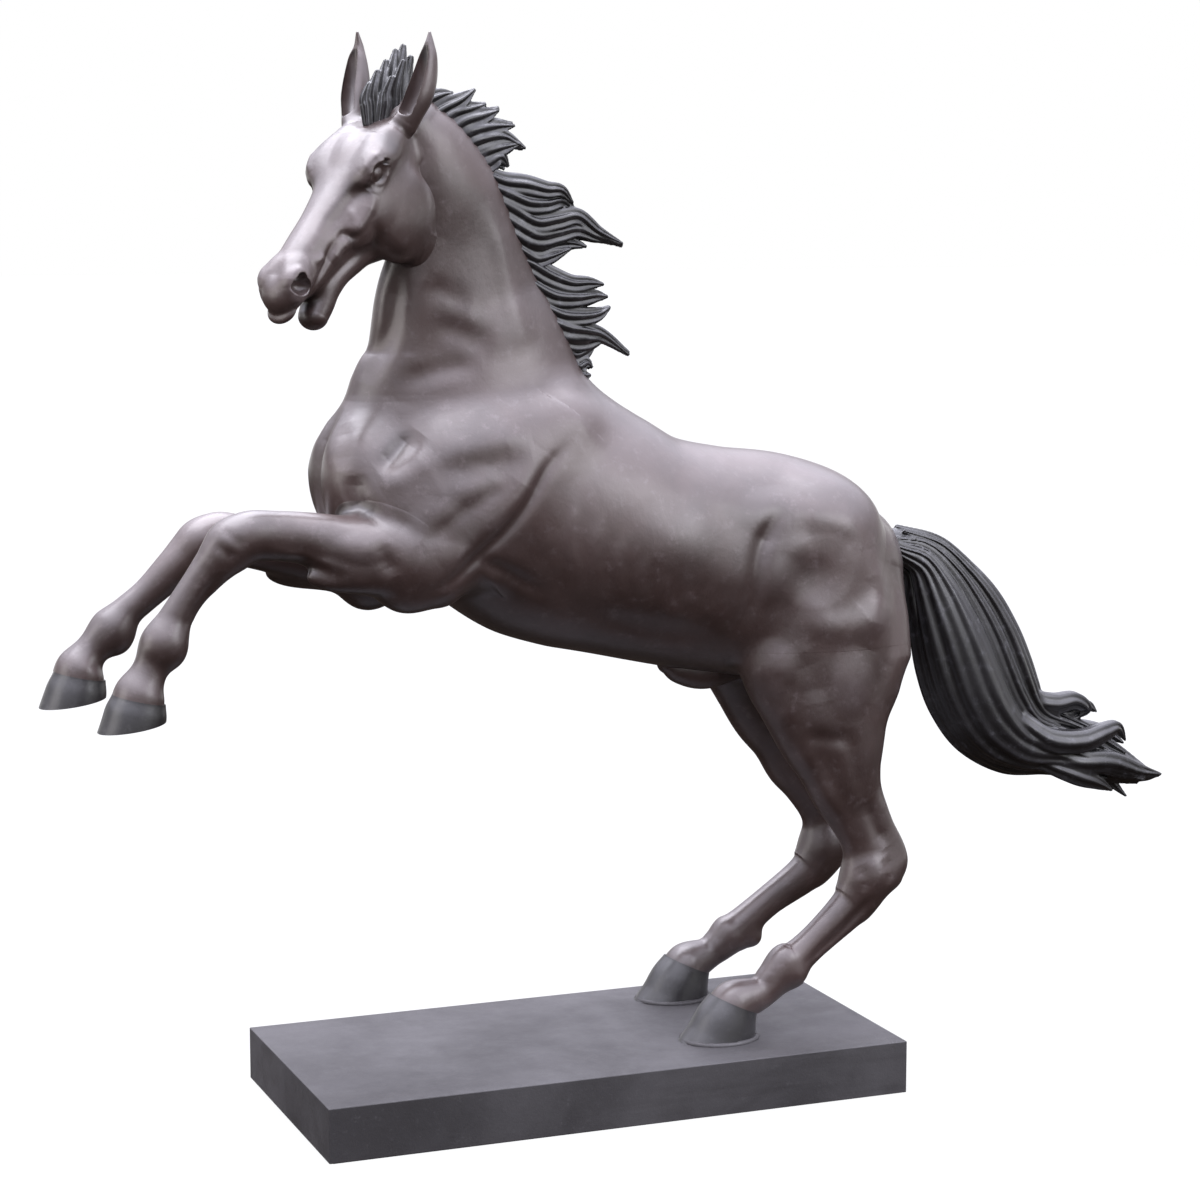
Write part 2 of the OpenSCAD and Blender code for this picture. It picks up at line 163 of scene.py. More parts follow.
class Tube(Path):
    """A swept solid with elliptical sections and round ends, through stations
    (x, y, z, half depth in the plane of the bend, half width across it, yaw in degrees)."""

    def __init__(self, stations, step=7.0, flutes=None):
        super().__init__([tuple(s) + (0,) * (6 - len(s)) for s in stations], step)
        yaw = np.radians(self.rows[:, 5])
        side = np.stack([-np.sin(yaw), np.cos(yaw), 0 * yaw], 1)
        side = unit(side - self.tangent * (side * self.tangent).sum(1)[:, None])
        bend = np.cross(self.tangent, side)
        size = np.maximum(self.rows[:, 3:5], THINNEST)
        self.table = np.hstack([self.centre, bend, side, size]).astype(np.float32)
        r = size.max(1)[:, None]
        self.low, self.high = (self.centre - r).min(0), (self.centre + r).max(0)
        self.thick = r.max()
        self.flutes = flutes

    def distance(self, p, reach=REACH):
        first, last = self.stretch_near(p, self.thick + reach)
        if first == last:
            return np.full(len(p), FAR_OUT, np.float32)
        i, j, f, past = self.nearest(p, first, last)
        row = self.table[i] * (1 - f) + self.table[j] * f
        rel = p - row[:, :3]
        u, v = (rel * row[:, 3:6]).sum(1), (rel * row[:, 6:9]).sum(1)
        a, b = row[:, 9], row[:, 10]
        d = outside_ellipsoid(u, v, past, a, b, np.minimum(a, b))
        if self.flutes:
            count, deep, turn = self.flutes
            wave = np.cos(count * np.arctan2(v / b, u / a) + (i + (j - i) * f[:, 0]) * turn)
            d += deep * np.minimum(np.minimum(a, b) / FULL_FLUTES, 1) * wave
        return d


class Blob:
    """An ellipsoid, with its half sizes along axes that default to x, y and z."""

    def __init__(self, centre, size, axes=np.eye(3)):
        self.centre = np.array(centre, np.float32)
        self.size = np.array(size, np.float32) * np.ones(3, np.float32)
        self.axes = np.array(axes, np.float32)
        self.low, self.high = self.centre - self.size.max(), self.centre + self.size.max()

    def distance(self, p, reach=REACH):
        u, v, w = ((p - self.centre) @ self.axes.T).T
        return outside_ellipsoid(u, v, w, *self.size)

    def weight(self, p):
        """1 at the centre, falling smoothly to 0 at the ellipsoid."""
        q = ((p - self.centre) @ self.axes.T) / self.size
        return np.maximum(1 - (q**2).sum(1), 0) ** 2


class Stroke(Path):
    """A line over a surface, as a modelling tool would leave it, that fades out at both ends. Distance counts
    for less in the through direction, into the surface, so the line needn't lie right on the surface."""

    def __init__(self, points, width, through=(0, 1, 0)):
        super().__init__(points, STROKE_STEP)
        self.width = width
        self.through = unit(np.array(through, np.float32))
        t = np.linspace(0, 1, len(self.centre))
        from_end = np.minimum(t + END_WEIGHT, 1 + END_WEIGHT - t)
        self.fade = np.clip(FADE_RATE * from_end, 0, 1).astype(np.float32)
        self.margin = STROKE_REACH * width * (1 + THROUGH_REACH * np.abs(self.through))
        self.low, self.high = self.centre.min(0) - self.margin, self.centre.max(0) + self.margin

    def weight(self, p):
        first, last = self.stretch_near(p, self.margin)
        if first == last:
            return np.zeros(len(p), np.float32)
        i, j, f, past = self.nearest(p, first, last)
        rel = p - self.centre[i] * (1 - f) - self.centre[j] * f
        across = rel @ self.through
        square = (rel**2).sum(1) - SEEN_THROUGH * across**2
        fade = self.fade[i] * (1 - f[:, 0]) + self.fade[j] * f[:, 0]
        return np.exp(-square / self.width**2) * fade


class Kept:
    """The part of a shape that lies before a seam, with a tongue that sinks into the casting beyond."""

    def __init__(self, shape, seam):
        self.shape = shape
        self.at, self.towards = np.array(seam[0], np.float32), unit(np.array(seam[1], np.float32))
        self.low, self.high = shape.low, shape.high

    def distance(self, p, reach=REACH):
        past = (p - self.at) @ self.towards
        sunk = TONGUE_SLOPE * np.clip(past, 0, SLOPE_END)
        return np.maximum(self.shape.distance(p, reach) + sunk, past - TONGUE)


class Form:
    """A sculpted solid: shapes joined and cut with soft edges, then pushed up or down."""

    def __init__(self, steps=()):
        self.steps = []
        for step in steps:
            self.put(*step)

    def put(self, kind, shape, amount):
        self.steps.append((kind, shape, amount))
        if kind == "add":
            adds = [s for k, s, _ in self.steps if k == "add"]
            self.low = np.min([s.low for s in adds], axis=0)
            self.high = np.max([s.high for s in adds], axis=0)

    def add(self, shape, blend):
        self.put("add", shape, blend)

    def add_tube(self, stations, blend):
        self.add(Tube(stations), blend)

    def cut(self, shape, blend):
        self.put("cut", shape, blend)

    def push(self, shape, height):
        self.put("push", shape, height)

    def ridge(self, points, width, height, through=(0, 1, 0)):
        self.push(Stroke(points, width, through), height)

    def groove(self, points, width, depth, through=(0, 1, 0)):
        self.push(Stroke(points, width, through), -depth)

    def distance(self, p, reach=REACH):
        p = np.asarray(p, np.float32)
        d = np.full(len(p), FAR_OUT, np.float32)
        for start in range(0, len(p), CHUNK):
            part = slice(start, start + CHUNK)
            self.work_out(p[part], d[part], reach)
        return d

    def widest_blends(self):
        """For each step, the widest blend among it and those after it, which still need its distance."""
        blends = [amount if kind != "push" else 0 for kind, _, amount in self.steps]
        return np.maximum.accumulate(blends[::-1])[::-1]

    def work_out(self, p, d, reach):
        """Fills d with the distance of nearby points p. Shapes beyond reach are left out."""
        p_low, p_high = p.min(0), p.max(0)
        for (kind, shape, amount), widest in zip(self.steps, self.widest_blends()):
            margin = 0 if kind == "push" else reach + BLEND_REACH * widest
            low, high = shape.low - margin, shape.high + margin
            if (low > p_high).any() or (high < p_low).any():
                continue
            near = np.flatnonzero(((p > low) & (p < high)).all(1))
            if not len(near):
                continue
            if kind == "push":
                d[near] -= amount * shape.weight(p[near])
                continue
            new, old = shape.distance(p[near], margin), d[near]
            if kind == "cut":
                old = -old
            blend = np.maximum(amount - np.abs(new - old), 0)
            joined = np.minimum(new, old) - blend**2 / (4 * amount)
            d[near] = joined if kind == "add" else -joined


class Grown:
    """What a form gains from shapes that grow out of it: the form near those shapes, blended with them. Its
    border dips just under the form's own surface."""

    def __init__(self, whole, own, blend):
        self.whole, self.own, self.blend = whole, own, GROWN_SHARE * blend
        self.low, self.high = own.low - blend, own.high + blend

    def distance(self, p, reach=REACH):
        own = self.own.distance(p, reach + self.blend) - self.blend
        sunk = np.clip(own / BORDER + 1, 0, 1) ** 2
        return np.maximum(self.whole.distance(p, reach) + BORDER_SINK * sunk, own)


# ---- From distance fields to meshes

TILE = 32.0  # about the side of the coarsest cells, in millimetres
BLOCK = 4  # the side of the middle cells, in voxels
TILE_MARGIN = 1.2  # a tile is worked out more finely if its middle is this near the surface, in its sides
BLOCK_MARGIN = 1.3  # the same for a block
BLOCK_REACH = 24  # how far from its shapes a block's distance is worked out
GROUP = 4  # tiles are sorted into cubes of this many a side, so that neighbours are worked out together
PADDING = 8  # how far the grid runs past the form's box
BAND = 2.5  # the depth of the field on each side of the surface, in voxels
FINE_REACH = 9.0
SLOPE_STEP = 0.8  # how far from a point its slope is sampled
LEAST_SLOPE = 0.2  # the least squared slope that a move onto the surface is divided by
SETTLING = 2  # how often the points are moved onto the surface
HOLLOW = "hollow"
HOLLOW_SCALE = 9.0  # how far above the surface its hollowness is felt


def cells(count):
    """Every whole-number place in a box of cells."""
    return np.stack(np.meshgrid(*[np.arange(n) for n in count], indexing="ij"), -1).reshape(-1, 3)


def normals_at(form, p):
    """The field's slope at points, from four samples each."""
    corners = np.array([[1, -1, -1], [-1, -1, 1], [-1, 1, -1], [1, 1, 1]], np.float32)
    slope = np.zeros((len(p), 3), np.float32)
    for c in corners:
        slope += c * form.distance(p + c * SLOPE_STEP, FINE_REACH)[:, None]
    return slope / (len(corners) * SLOPE_STEP)


def sample_field(form, voxel):
    """The form's distance on a grid, worked out finely only near its surface, and the grid's first corner."""
    ways = max(1, round(TILE / (BLOCK * voxel)))
    side = BLOCK * ways
    start = np.floor((form.low - PADDING) / voxel) * voxel
    count = np.ceil((form.high + PADDING - start) / (voxel * side)).astype(int)
    tiles = cells(count)
    rough = form.distance(start + (tiles + 0.5) * voxel * side - voxel / 2)
    field = rough.reshape(count).repeat(side, 0).repeat(side, 1).repeat(side, 2)
    tiles = tiles[np.abs(rough) < TILE_MARGIN * voxel * side]
    tiles = tiles[np.lexsort((tiles // GROUP).T)]
    blocks = (tiles[:, None] * ways + cells([ways] * 3)).reshape(-1, 3)
    near = form.distance(start + (blocks + 0.5) * voxel * BLOCK - voxel / 2, BLOCK_REACH)
    views = field.reshape(count[0] * ways, BLOCK, count[1] * ways, BLOCK, count[2] * ways, BLOCK)
    views[blocks[:, 0], :, blocks[:, 1], :, blocks[:, 2], :] = near[:, None, None, None]
    blocks = blocks[np.abs(near) < BLOCK_MARGIN * voxel * BLOCK]
    index = (blocks[:, None] * BLOCK + cells([BLOCK] * 3)).reshape(-1, 3)
    field[tuple(index.T)] = form.distance(start + index * voxel, FINE_REACH)
    return field, start


def mesh_field(form, voxel):
    """Points and faces of the form's surface."""
    field, start = sample_field(form, voxel)
    band = BAND * voxel
    volume = openvdb.FloatGrid(band)
    volume.gridClass = openvdb.GridClass.LEVEL_SET
    volume.copyFromArray(np.clip(field, -band, band))
    points, quads = volume.convertToQuads(0.0)
    points = (start + points * voxel).astype(np.float32)
    slope = normals_at(form, points)
    for _ in range(SETTLING):
        far = form.distance(points, FINE_REACH)[:, None]
        step = far * slope / np.maximum((slope**2).sum(1)[:, None], LEAST_SLOPE)
        points -= np.clip(step, -voxel, voxel)
    return points, quads[:, ::-1]


def keep_past(bm, seam):
    """Keeps what lies past a seam, and closes the cut."""
    at, towards = seam
    whole = bm.verts[:] + bm.edges[:] + bm.faces[:]
    bmesh.ops.bisect_plane(bm, geom=whole, plane_co=at, plane_no=towards, clear_inner=True, dist=CLOSE)
    rim = [e for e in bm.edges if e.is_boundary]
    if rim:
        made = bmesh.ops.holes_fill(bm, edges=rim, sides=0)["faces"]
        bmesh.ops.triangulate(bm, faces=made)


def drop_crumbs(bm):
    """Keeps only the largest of the separate parts that a cut has left."""
    bm.verts.index_update()
    ends = np.array([(e.verts[0].index, e.verts[1].index) for e in bm.edges])
    label = np.arange(len(bm.verts))
    while True:
        least = label[ends].min(1)
        lower = label.copy()
        np.minimum.at(lower, ends.ravel(), least.repeat(2))
        lower = lower[lower]
        if (lower == label).all():
            break
        label = lower
    sizes = np.bincount(label)
    if (sizes > 0).sum() > 1:
        crumbs = np.flatnonzero(label != sizes.argmax())
        bm.verts.ensure_lookup_table()
        bmesh.ops.delete(bm, geom=[bm.verts[k] for k in crumbs], context="VERTS")


def piece_object(name, mesh, nodes, material):
    ob = bpy.data.objects.new(name, mesh)
    bpy.context.scene.collection.objects.link(ob)
    mesh.materials.append(material)
    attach(ob, BODY)
    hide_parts(*nodes)


class Casting:
    """A form to be meshed, and the pieces to cut from it."""

    def __init__(self, form, voxel, slot, material):
        self.form, self.voxel, self.slot, self.material = form, voxel * COARSE, slot, material
        self.cuts = []

    def piece(self, node, *seams):
        """Plans the piece of one node, which lies past all of the seams."""
        self.cuts.append((node, seams))
        return self

    def mesh(self):
        self.points, self.quads = mesh_field(self.form, self.voxel)
        return self

    def cut(self):
        """Cuts the pieces apart at their seams."""
        whole = bpy.data.meshes.new("whole")
        whole.from_pydata(self.points, [], self.quads)
        self.pieces = []
        for node, seams in self.cuts:
            bm = bmesh.new()
            bm.from_mesh(whole)
            for seam in seams:
                keep_past(bm, seam)
            drop_crumbs(bm)
            mesh = bpy.data.meshes.new("cast_" + node)
            bm.to_mesh(mesh)
            bm.free()
            at = np.empty(len(mesh.vertices) * 3, np.float32)
            mesh.vertices.foreach_get("co", at)
            self.pieces.append(SimpleNamespace(node=node, mesh=mesh, at=at.reshape(-1, 3)))
        bpy.data.meshes.remove(whole)

    def work_out_shading(self):
        """The normals, and how hollow the surface is, which the materials use for painted shade in creases
        and rubbed ridges. Above creases the field rises slowly.
        """
        for piece in self.pieces:
            normals = unit(normals_at(self.form, piece.at))
            above = self.form.distance(piece.at + normals * HOLLOW_SCALE, 2 * HOLLOW_SCALE)
            piece.normals = normals.astype(float)
            piece.hollow = np.clip(1 - above / HOLLOW_SCALE, -1, 1).astype(np.float32)

    def finish(self):
        """Smooth shading from the field's own slope, and the move into the CAD frame."""
        for piece in self.pieces:
            mesh = piece.mesh
            mesh.vertices.foreach_set("co", (piece.at * MM + FLOOR).astype(np.float32).ravel())
            mesh.shade_smooth()
            mesh.normals_split_custom_set_from_vertices(piece.normals)
            mesh.attributes.new(HOLLOW, "FLOAT", "POINT").data.foreach_set("value", piece.hollow)
            mesh.update()
            nodes = [piece.node] if piece.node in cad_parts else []
            piece_object("cast_" + piece.node, mesh, nodes, self.material)


# ---- Seams, where the castings are welded together: a point, and the direction of the next casting

def back(seam):
    """The same seam, seen from the casting beyond it."""
    return seam[0], tuple(-c for c in seam[1])


NECK_SEAM = ((-180, 0, 1200), (0.05, 0, 1))
FRONT_BARREL_SEAM = ((-60, 0, 950), (1, 0, 0))
REAR_BARREL_SEAM = ((300, 0, 850), (1, 0, 0))
ELBOW_SEAM = ((-335, 0, 880), (-1, 0, 0.2))
LEFT_KNEE_SEAM = ((-655, -121, 922), (-0.8, 0, -0.7))
RIGHT_KNEE_SEAM = ((-655, 115, 898), (-0.8, 0, -0.7))
THIGH_SEAM = ((470, 0, 700), (0, 0, -1))
STIFLE_SEAM = ((470, 0, 535), (0, 0, -1))
LEFT_HOCK_SEAM = ((505, -134, 226), (-0.75, 0, -0.66))
RIGHT_HOCK_SEAM = ((545, 134, 228), (-0.75, 0, -0.66))
TAIL_SEAM = ((848, 0, 580), (0.3, 0, -1))
GROUND = ((0, 0, 0), (0, 0, 1))


def coronet(foot):
    """The seam between a pastern and its hoof."""
    first, second = np.array(foot[0][:3]), np.array(foot[1][:3])
    return tuple(first), tuple(second - first)


def sole(foot):
    """The flat underside of a lifted hoof, facing back into it, with its toe the lowest."""
    return foot[-1][:3], (-0.13, 0, 1)


# ---- The trunk and neck

TORSO = [
    (-345, 0, 992, 116, 104), (-310, 0, 992, 138, 130),
    (-220, 0, 990, 184, 156), (-100, 0, 965, 222, 169), (20, 0, 925, 223, 179), (134, 0, 884, 206, 182),
    (252, 0, 858, 205, 174), (371, 0, 840, 207, 166), (470, 0, 812, 198, 156), (528, 0, 790, 160, 118)]
NECK = [
    (-180, 0, 1000, 240, 126), (-187, 0, 1100, 258, 128), (-190, 0, 1176, 219, 114),
    (-192, -2, 1255, 191, 97, 3), (-205, -8, 1335, 165, 83, 7), (-215, -19, 1420, 139, 73, 12),
    (-234, -32, 1505, 111, 66, 19), (-268, -44, 1580, 86, 58, 26), (-305, -51, 1622, 62, 50, 30)]
SHOULDER = [
    (-40, -84, 1110, 50, 40), (-60, -90, 1095, 66, 48), (-180, -100, 1020, 124, 66),
    (-280, -106, 950, 140, 66), (-330, -112, 890, 100, 62)]

LEFT_FORE = [
    (-290, -114, 886, 60, 54), (-350, -118, 893, 70, 58), (-403, -121, 905, 67, 55),
    (-454, -122, 918, 58, 49), (-510, -122, 936, 46, 41), (-570, -122, 945, 42, 35),
    (-625, -122, 944, 43, 38), (-664, -121, 914, 38, 34), (-708, -120, 868, 27, 23),
    (-742, -120, 820, 27, 23), (-765, -120, 774, 36, 29), (-790, -120, 728, 30, 28),
    (-806, -120, 694, 42, 41), (-814, -120, 660, 45, 43)]
LEFT_FORE_FOOT = [(-808, -120, 683, 44, 43), (-813, -120, 662, 50, 48), (-819, -120, 638, 52, 51)]
RIGHT_FORE = [
    (-290, 114, 858, 60, 54), (-345, 117, 863, 67, 57), (-398, 117, 878, 64, 54), (-484, 116, 892, 50, 43),
    (-550, 115, 905, 43, 36), (-616, 115, 920, 43, 38), (-668, 115, 888, 37, 34), (-735, 115, 830, 27, 23),
    (-775, 115, 797, 28, 24), (-800, 115, 768, 36, 29), (-838, 115, 732, 30, 28), (-857, 115, 704, 42, 41),
    (-865, 115, 672, 45, 43)]
RIGHT_FORE_FOOT = [(-859, 115, 690, 44, 43), (-864, 115, 668, 50, 48), (-870, 115, 645, 53, 51)]
LEFT_HIND = [
    (485, -72, 850, 128, 72), (470, -90, 770, 158, 82), (456, -105, 681, 170, 78), (460, -115, 601, 140, 68),
    (470, -120, 525, 98, 56), (490, -125, 436, 65, 43), (524, -130, 349, 46, 34), (542, -132, 285, 52, 37),
    (510, -133, 232, 44, 33), (484, -134, 208, 36, 28), (428, -136, 164, 30, 24), (390, -137, 134, 33, 27),
    (368, -138, 122, 40, 31), (340, -139, 96, 34, 29), (314, -140, 76, 31, 29), (264, -140, 60, 44, 42),
    (254, -140, 32, 46, 44)]
LEFT_HIND_FOOT = [(262, -140, 62, 46, 44), (248, -140, 32, 57, 50), (236, -140, 0, 64, 54)]
RIGHT_HIND = [
    (490, 72, 850, 128, 72), (475, 90, 770, 158, 82), (466, 105, 681, 170, 78), (476, 115, 601, 140, 68),
    (494, 120, 520, 98, 56), (520, 125, 436, 63, 43), (566, 130, 349, 46, 34), (585, 132, 287, 52, 37),
    (552, 133, 236, 44, 33), (526, 134, 214, 36, 28), (460, 136, 172, 30, 24), (400, 137, 128, 33, 27),
    (378, 138, 112, 39, 31), (354, 139, 92, 33, 29), (332, 140, 78, 31, 29), (292, 140, 60, 44, 42),
    (282, 140, 32, 46, 44)]
RIGHT_HIND_FOOT = [(290, 140, 62, 46, 44), (276, 140, 32, 57, 50), (264, 140, 0, 64, 54)]

LEG_BLEND = 34.0
HOCK = 7  # the hock's station in a hind leg
HOCK_SIZE = (42, 36)
HOCK_BLEND = 18
HOCK_TOP, HOCK_BOTTOM = 700, 280  # between these heights a hind leg's shift grows from none to all of it


def tilted(degrees):
    """Axes that are turned about the sideways one."""
    c, s = math.cos(math.radians(degrees)), math.sin(math.radians(degrees))
    return [(c, 0, s), (0, 1, 0), (-s, 0, c)]


def both(step, rows, *args):
    """The same sculpting step on the left side and, mirrored, on the right."""
    step(rows, *args)
    step(mirrored(rows), *args)


def swell(form, centre, size, height, tilt=0):
    """Raises or hollows both sides round a point."""
    form.push(Blob(centre, size, tilted(tilt)), height)
    form.push(Blob(mirrored(centre), size, tilted(tilt)), height)


def lump(form, centre, size, blend, tilt=0):
    """Adds a mass on both sides."""
    form.add(Blob(centre, size, tilted(tilt)), blend)
    form.add(Blob(mirrored(centre), size, tilted(tilt)), blend)


def add_trunk(form):
    form.add(Tube(TORSO, 12), 10)
    form.add(Tube(NECK, 10), 60)
    both(form.add_tube, SHOULDER, 46)
    lump(form, (-396, -52, 1026), (62, 56, 86), 54, 6)
    lump(form, (-300, -124, 905), (66, 46, 66), 40)
    lump(form, (452, -84, 872), (120, 76, 118), 60, 30)


def add_shoulder_muscles(form):
    """The shoulder blade, the triceps and the breast, from the creases between them."""
    both(form.groove, [(-60, -140, 1086), (-105, -156, 1046), (-143, -164, 990), (-186, -167, 939),
                       (-237, -174, 896), (-279, -177, 862), (-328, -167, 838)], 13, 8)
    both(form.ridge, [(-112, -150, 1078), (-150, -160, 1020), (-196, -170, 968), (-250, -176, 920),
                      (-300, -176, 885)], 30, 7)
    both(form.groove, [(-237, -174, 892), (-201, -160, 882), (-153, -141, 859), (-91, -138, 819)], 14, 5)
    both(form.ridge, [(-129, -146, 1096), (-184, -153, 1093), (-240, -155, 1084), (-302, -148, 1072)], 28, 4)
    both(form.groove, [(-135, -146, 1068), (-190, -153, 1060), (-245, -155, 1046), (-300, -148, 1024)], 28, 4)
    both(form.groove, [(-317, -114, 1109), (-347, -119, 1083), (-371, -121, 1062), (-393, -117, 1047)], 17, 7)
    both(form.ridge, [(-300, -122, 1072), (-335, -126, 1050), (-365, -128, 1034), (-388, -120, 1020)], 24, 4)
    swell(form, (-262, -165, 985), (90, 60, 66), 6, -25)
    swell(form, (-228, -170, 1020), (66, 60, 44), 4, -20)
    swell(form, (-301, -172, 968), (60, 50, 40), 3, -15)
    both(form.groove, [(-165, -165, 1022), (-225, -172, 1000), (-285, -175, 960), (-330, -172, 925)], 16, 3.5)
    both(form.groove, [(-425, -102, 1042), (-421, -103, 1005), (-412, -108, 978)], 17, 4.5, (1, 1, 0))
    both(form.groove, [(-425, -50, 1126), (-434, -72, 1092), (-437, -86, 1044)], 20, 4, (1, 0.6, 0))
    form.groove([(-420, 0, 1150), (-448, 0, 1100), (-470, 0, 1040), (-468, 0, 985), (-430, 0, 930)], 19, 9,
                (1, 0, 0))
    both(form.groove, [(-418, -96, 986), (-400, -150, 972), (-366, -172, 960), (-338, -178, 932)], 16, 5)


def add_neck_muscles(form):
    both(form.groove, [(-326, -62, 1400), (-340, -60, 1332), (-349, -57, 1281), (-369, -46, 1234),
                       (-388, -46, 1190)], 19, 8, (0.5, 1, 0))
    both(form.ridge, [(-286, -80, 1440), (-298, -84, 1340), (-318, -88, 1250), (-350, -92, 1165)], 30, 6)
    both(form.groove, [(-352, -80, 1188), (-315, -92, 1202), (-265, -100, 1216), (-200, -108, 1222)], 20, 4)
    both(form.groove, [(-300, -92, 1362), (-262, -94, 1342), (-216, -94, 1318)], 22, 3)
    both(form.ridge, [(-290, -92, 1330), (-240, -96, 1312), (-190, -96, 1276)], 24, 3)
    both(form.groove, [(-280, -94, 1290), (-232, -98, 1276), (-176, -96, 1248)], 22, 3)
    swell(form, (-150, -88, 1282), (80, 60, 60), 3, 20)
    swell(form, (-225, -70, 1440), (80, 60, 120), -5, 10)
    both(form.ridge, [(-120, -60, 1250), (-135, -58, 1330), (-150, -56, 1410), (-180, -56, 1500)], 22, 5)
    swell(form, (-60, -95, 1120), (110, 70, 70), 5, 20)


def add_barrel_shape(form):
    for i, x in enumerate(np.linspace(-70, 190, 7)):
        rib = [(x + 14, -150, 1000 - 34 * i), (x + 4, -176, 930 - 28 * i), (x + 16, -160, 850 - 20 * i)]
        both(form.ridge, rib, 13, 2.2)
    both(form.groove, [(352, -142, 958), (324, -154, 930), (303, -160, 900), (292, -165, 868),
                       (286, -168, 824), (276, -160, 775), (250, -138, 728)], 18, 9)
    both(form.groove, [(-30, -120, 800), (60, -130, 765), (150, -128, 745), (220, -120, 728)], 24, 5)
    swell(form, (238, -165, 905), (90, 60, 80), -4)
    swell(form, (150, -180, 900), (130, 80, 90), 5, -10)


def add_hind_muscles(form):
    """The hip, rump, thigh and stifle, as far as the hind legs' first stations."""
    swell(form, (330, -150, 956), (80, 60, 56), 5, 10)
    both(form.groove, [(362, -161, 920), (400, -162, 910), (440, -160, 900), (497, -154, 880)], 28, 4)
    both(form.ridge, [(362, -148, 952), (400, -146, 948), (450, -140, 936), (510, -136, 900)], 34, 4)
    swell(form, (408, -168, 842), (80, 70, 66), -9, 10)
    both(form.ridge, [(516, -150, 880), (532, -156, 820), (526, -160, 760), (505, -166, 700)], 24, 7)
    both(form.groove, [(572, -130, 880), (582, -140, 800), (566, -150, 715), (540, -162, 650),
                       (520, -166, 600)], 24, 5)
    both(form.ridge, [(370, -164, 772), (432, -176, 744), (496, -168, 756), (530, -158, 800)], 30, 7)
    swell(form, (331, -160, 828), (56, 50, 56), 4)
    swell(form, (330, -150, 675), (50, 60, 60), 8)
    both(form.groove, [(380, -160, 700), (400, -168, 650), (408, -166, 610)], 26, 2.5)
    both(form.ridge, [(330, -140, 655), (348, -140, 610), (362, -142, 565)], 16, 5)
    swell(form, (470, -160, 640), (60, 60, 80), 7)
    both(form.groove, [(392, -150, 552), (432, -168, 542), (478, -168, 540)], 16, 4)
    form.groove([(660, 0, 840), (640, 0, 740), (600, 0, 650), (560, 0, 600)], 20, 10, (1, 0, 0))


def sheath_form():
    stations = [(190, 0, 668, 20, 22), (215, 0, 658, 30, 30), (262, 0, 652, 36, 34), (325, 0, 664, 34, 34)]
    return Form([("add", Tube(stations), 16)])


class Leg:
    """One leg: its shapes, and the strokes that finish them."""

    def __init__(self, stations, seam):
        self.tube = Tube(stations, 5)
        self.seam = seam
        self.shapes, self.strokes = [], []

    def lump(self, centre, size, blend, tilt=0):
        self.shapes.append(("add", Blob(centre, size, tilted(tilt)), blend))

    def bar(self, stations, blend):
        self.shapes.append(("add", Tube(stations, 5), blend))

    def groove(self, points, width, depth, through=(0, 1, 0)):
        self.strokes.append(("push", Stroke(points, width, through), -depth))

    def ridge(self, points, width, height, through=(0, 1, 0)):
        self.strokes.append(("push", Stroke(points, width, through), height))

    def swell(self, centre, size, height):
        self.strokes.append(("push", Blob(centre, size), height))


def by_bone(start, end, side, along_it):
    """Names places by a bone: along it from its start, ahead of it and out to the side."""
    axis = unit(end - start)
    forward = np.array([axis[2], 0, -axis[0]])
    return lambda along, ahead, out: start + along_it * along + forward * ahead + np.array([0, side * out, 0])


def fore_leg(stations, seam, joints, side):
    """The muscles and joints of a lifted foreleg, placed from its joints. side is -1 on the left."""
    leg = Leg(stations, seam)
    elbow, knee, fetlock, hoof_top = np.array(joints, float)
    upper = by_bone(elbow, knee, side, unit(knee - elbow))
    lower = by_bone(knee, fetlock, side, fetlock - knee)
    pastern = by_bone(fetlock, hoof_top, side, hoof_top - fetlock)

    leg.lump(upper(-6, -36, 2), (44, 34, 38), 26)
    leg.lump(upper(84, 22, 14), (84, 30, 36), 24)
    leg.lump(upper(92, -18, 22), (86, 26, 30), 22)
    leg.ridge([upper(120, -12, 50), upper(160, -2, 46), upper(200, 4, 42), upper(250, 8, 36)], 9, 2.5)
    leg.groove([upper(110, -26, 50), upper(160, -18, 46), upper(220, -8, 38)], 15, 3.5)
    leg.groove([upper(72, 44, 46), upper(56, 18, 56), upper(36, -12, 58)], 15, 4)
    leg.swell(upper(92, 30, 40), (60, 44, 34), 6)
    leg.lump(lower(-0.05, 8, 0), (30, 33, 34), 20, -40)
    leg.lump(lower(0.10, 7, 6), (22, 20, 26), 16, -40)
    leg.lump(lower(-0.05, -24, 0), (20, 18, 26), 16, -40)
    leg.groove([lower(0.02, 26, 20), lower(0.04, 6, 36), lower(0.04, -14, 34)], 10, 2)
    leg.groove([lower(-0.12, 34, 16), lower(-0.1, 10, 36), lower(-0.1, -14, 34)], 10, 1.5)
    leg.groove([lower(0.22, -8, 26), lower(0.5, -8, 24), lower(0.8, -10, 26)], 9, 3.5)
    leg.ridge([lower(0.2, -22, 14), lower(0.5, -22, 12), lower(0.85, -24, 14)], 10, 3)
    leg.lump(lower(1.0, -2, 4), (29, 28, 29), 28)
    leg.lump(lower(1.02, -20, 0), (17, 20, 20), 18)
    leg.groove([pastern(0.35, 26, 8), pastern(0.4, 4, 30), pastern(0.42, -20, 20)], 12, 1.5)
    return leg


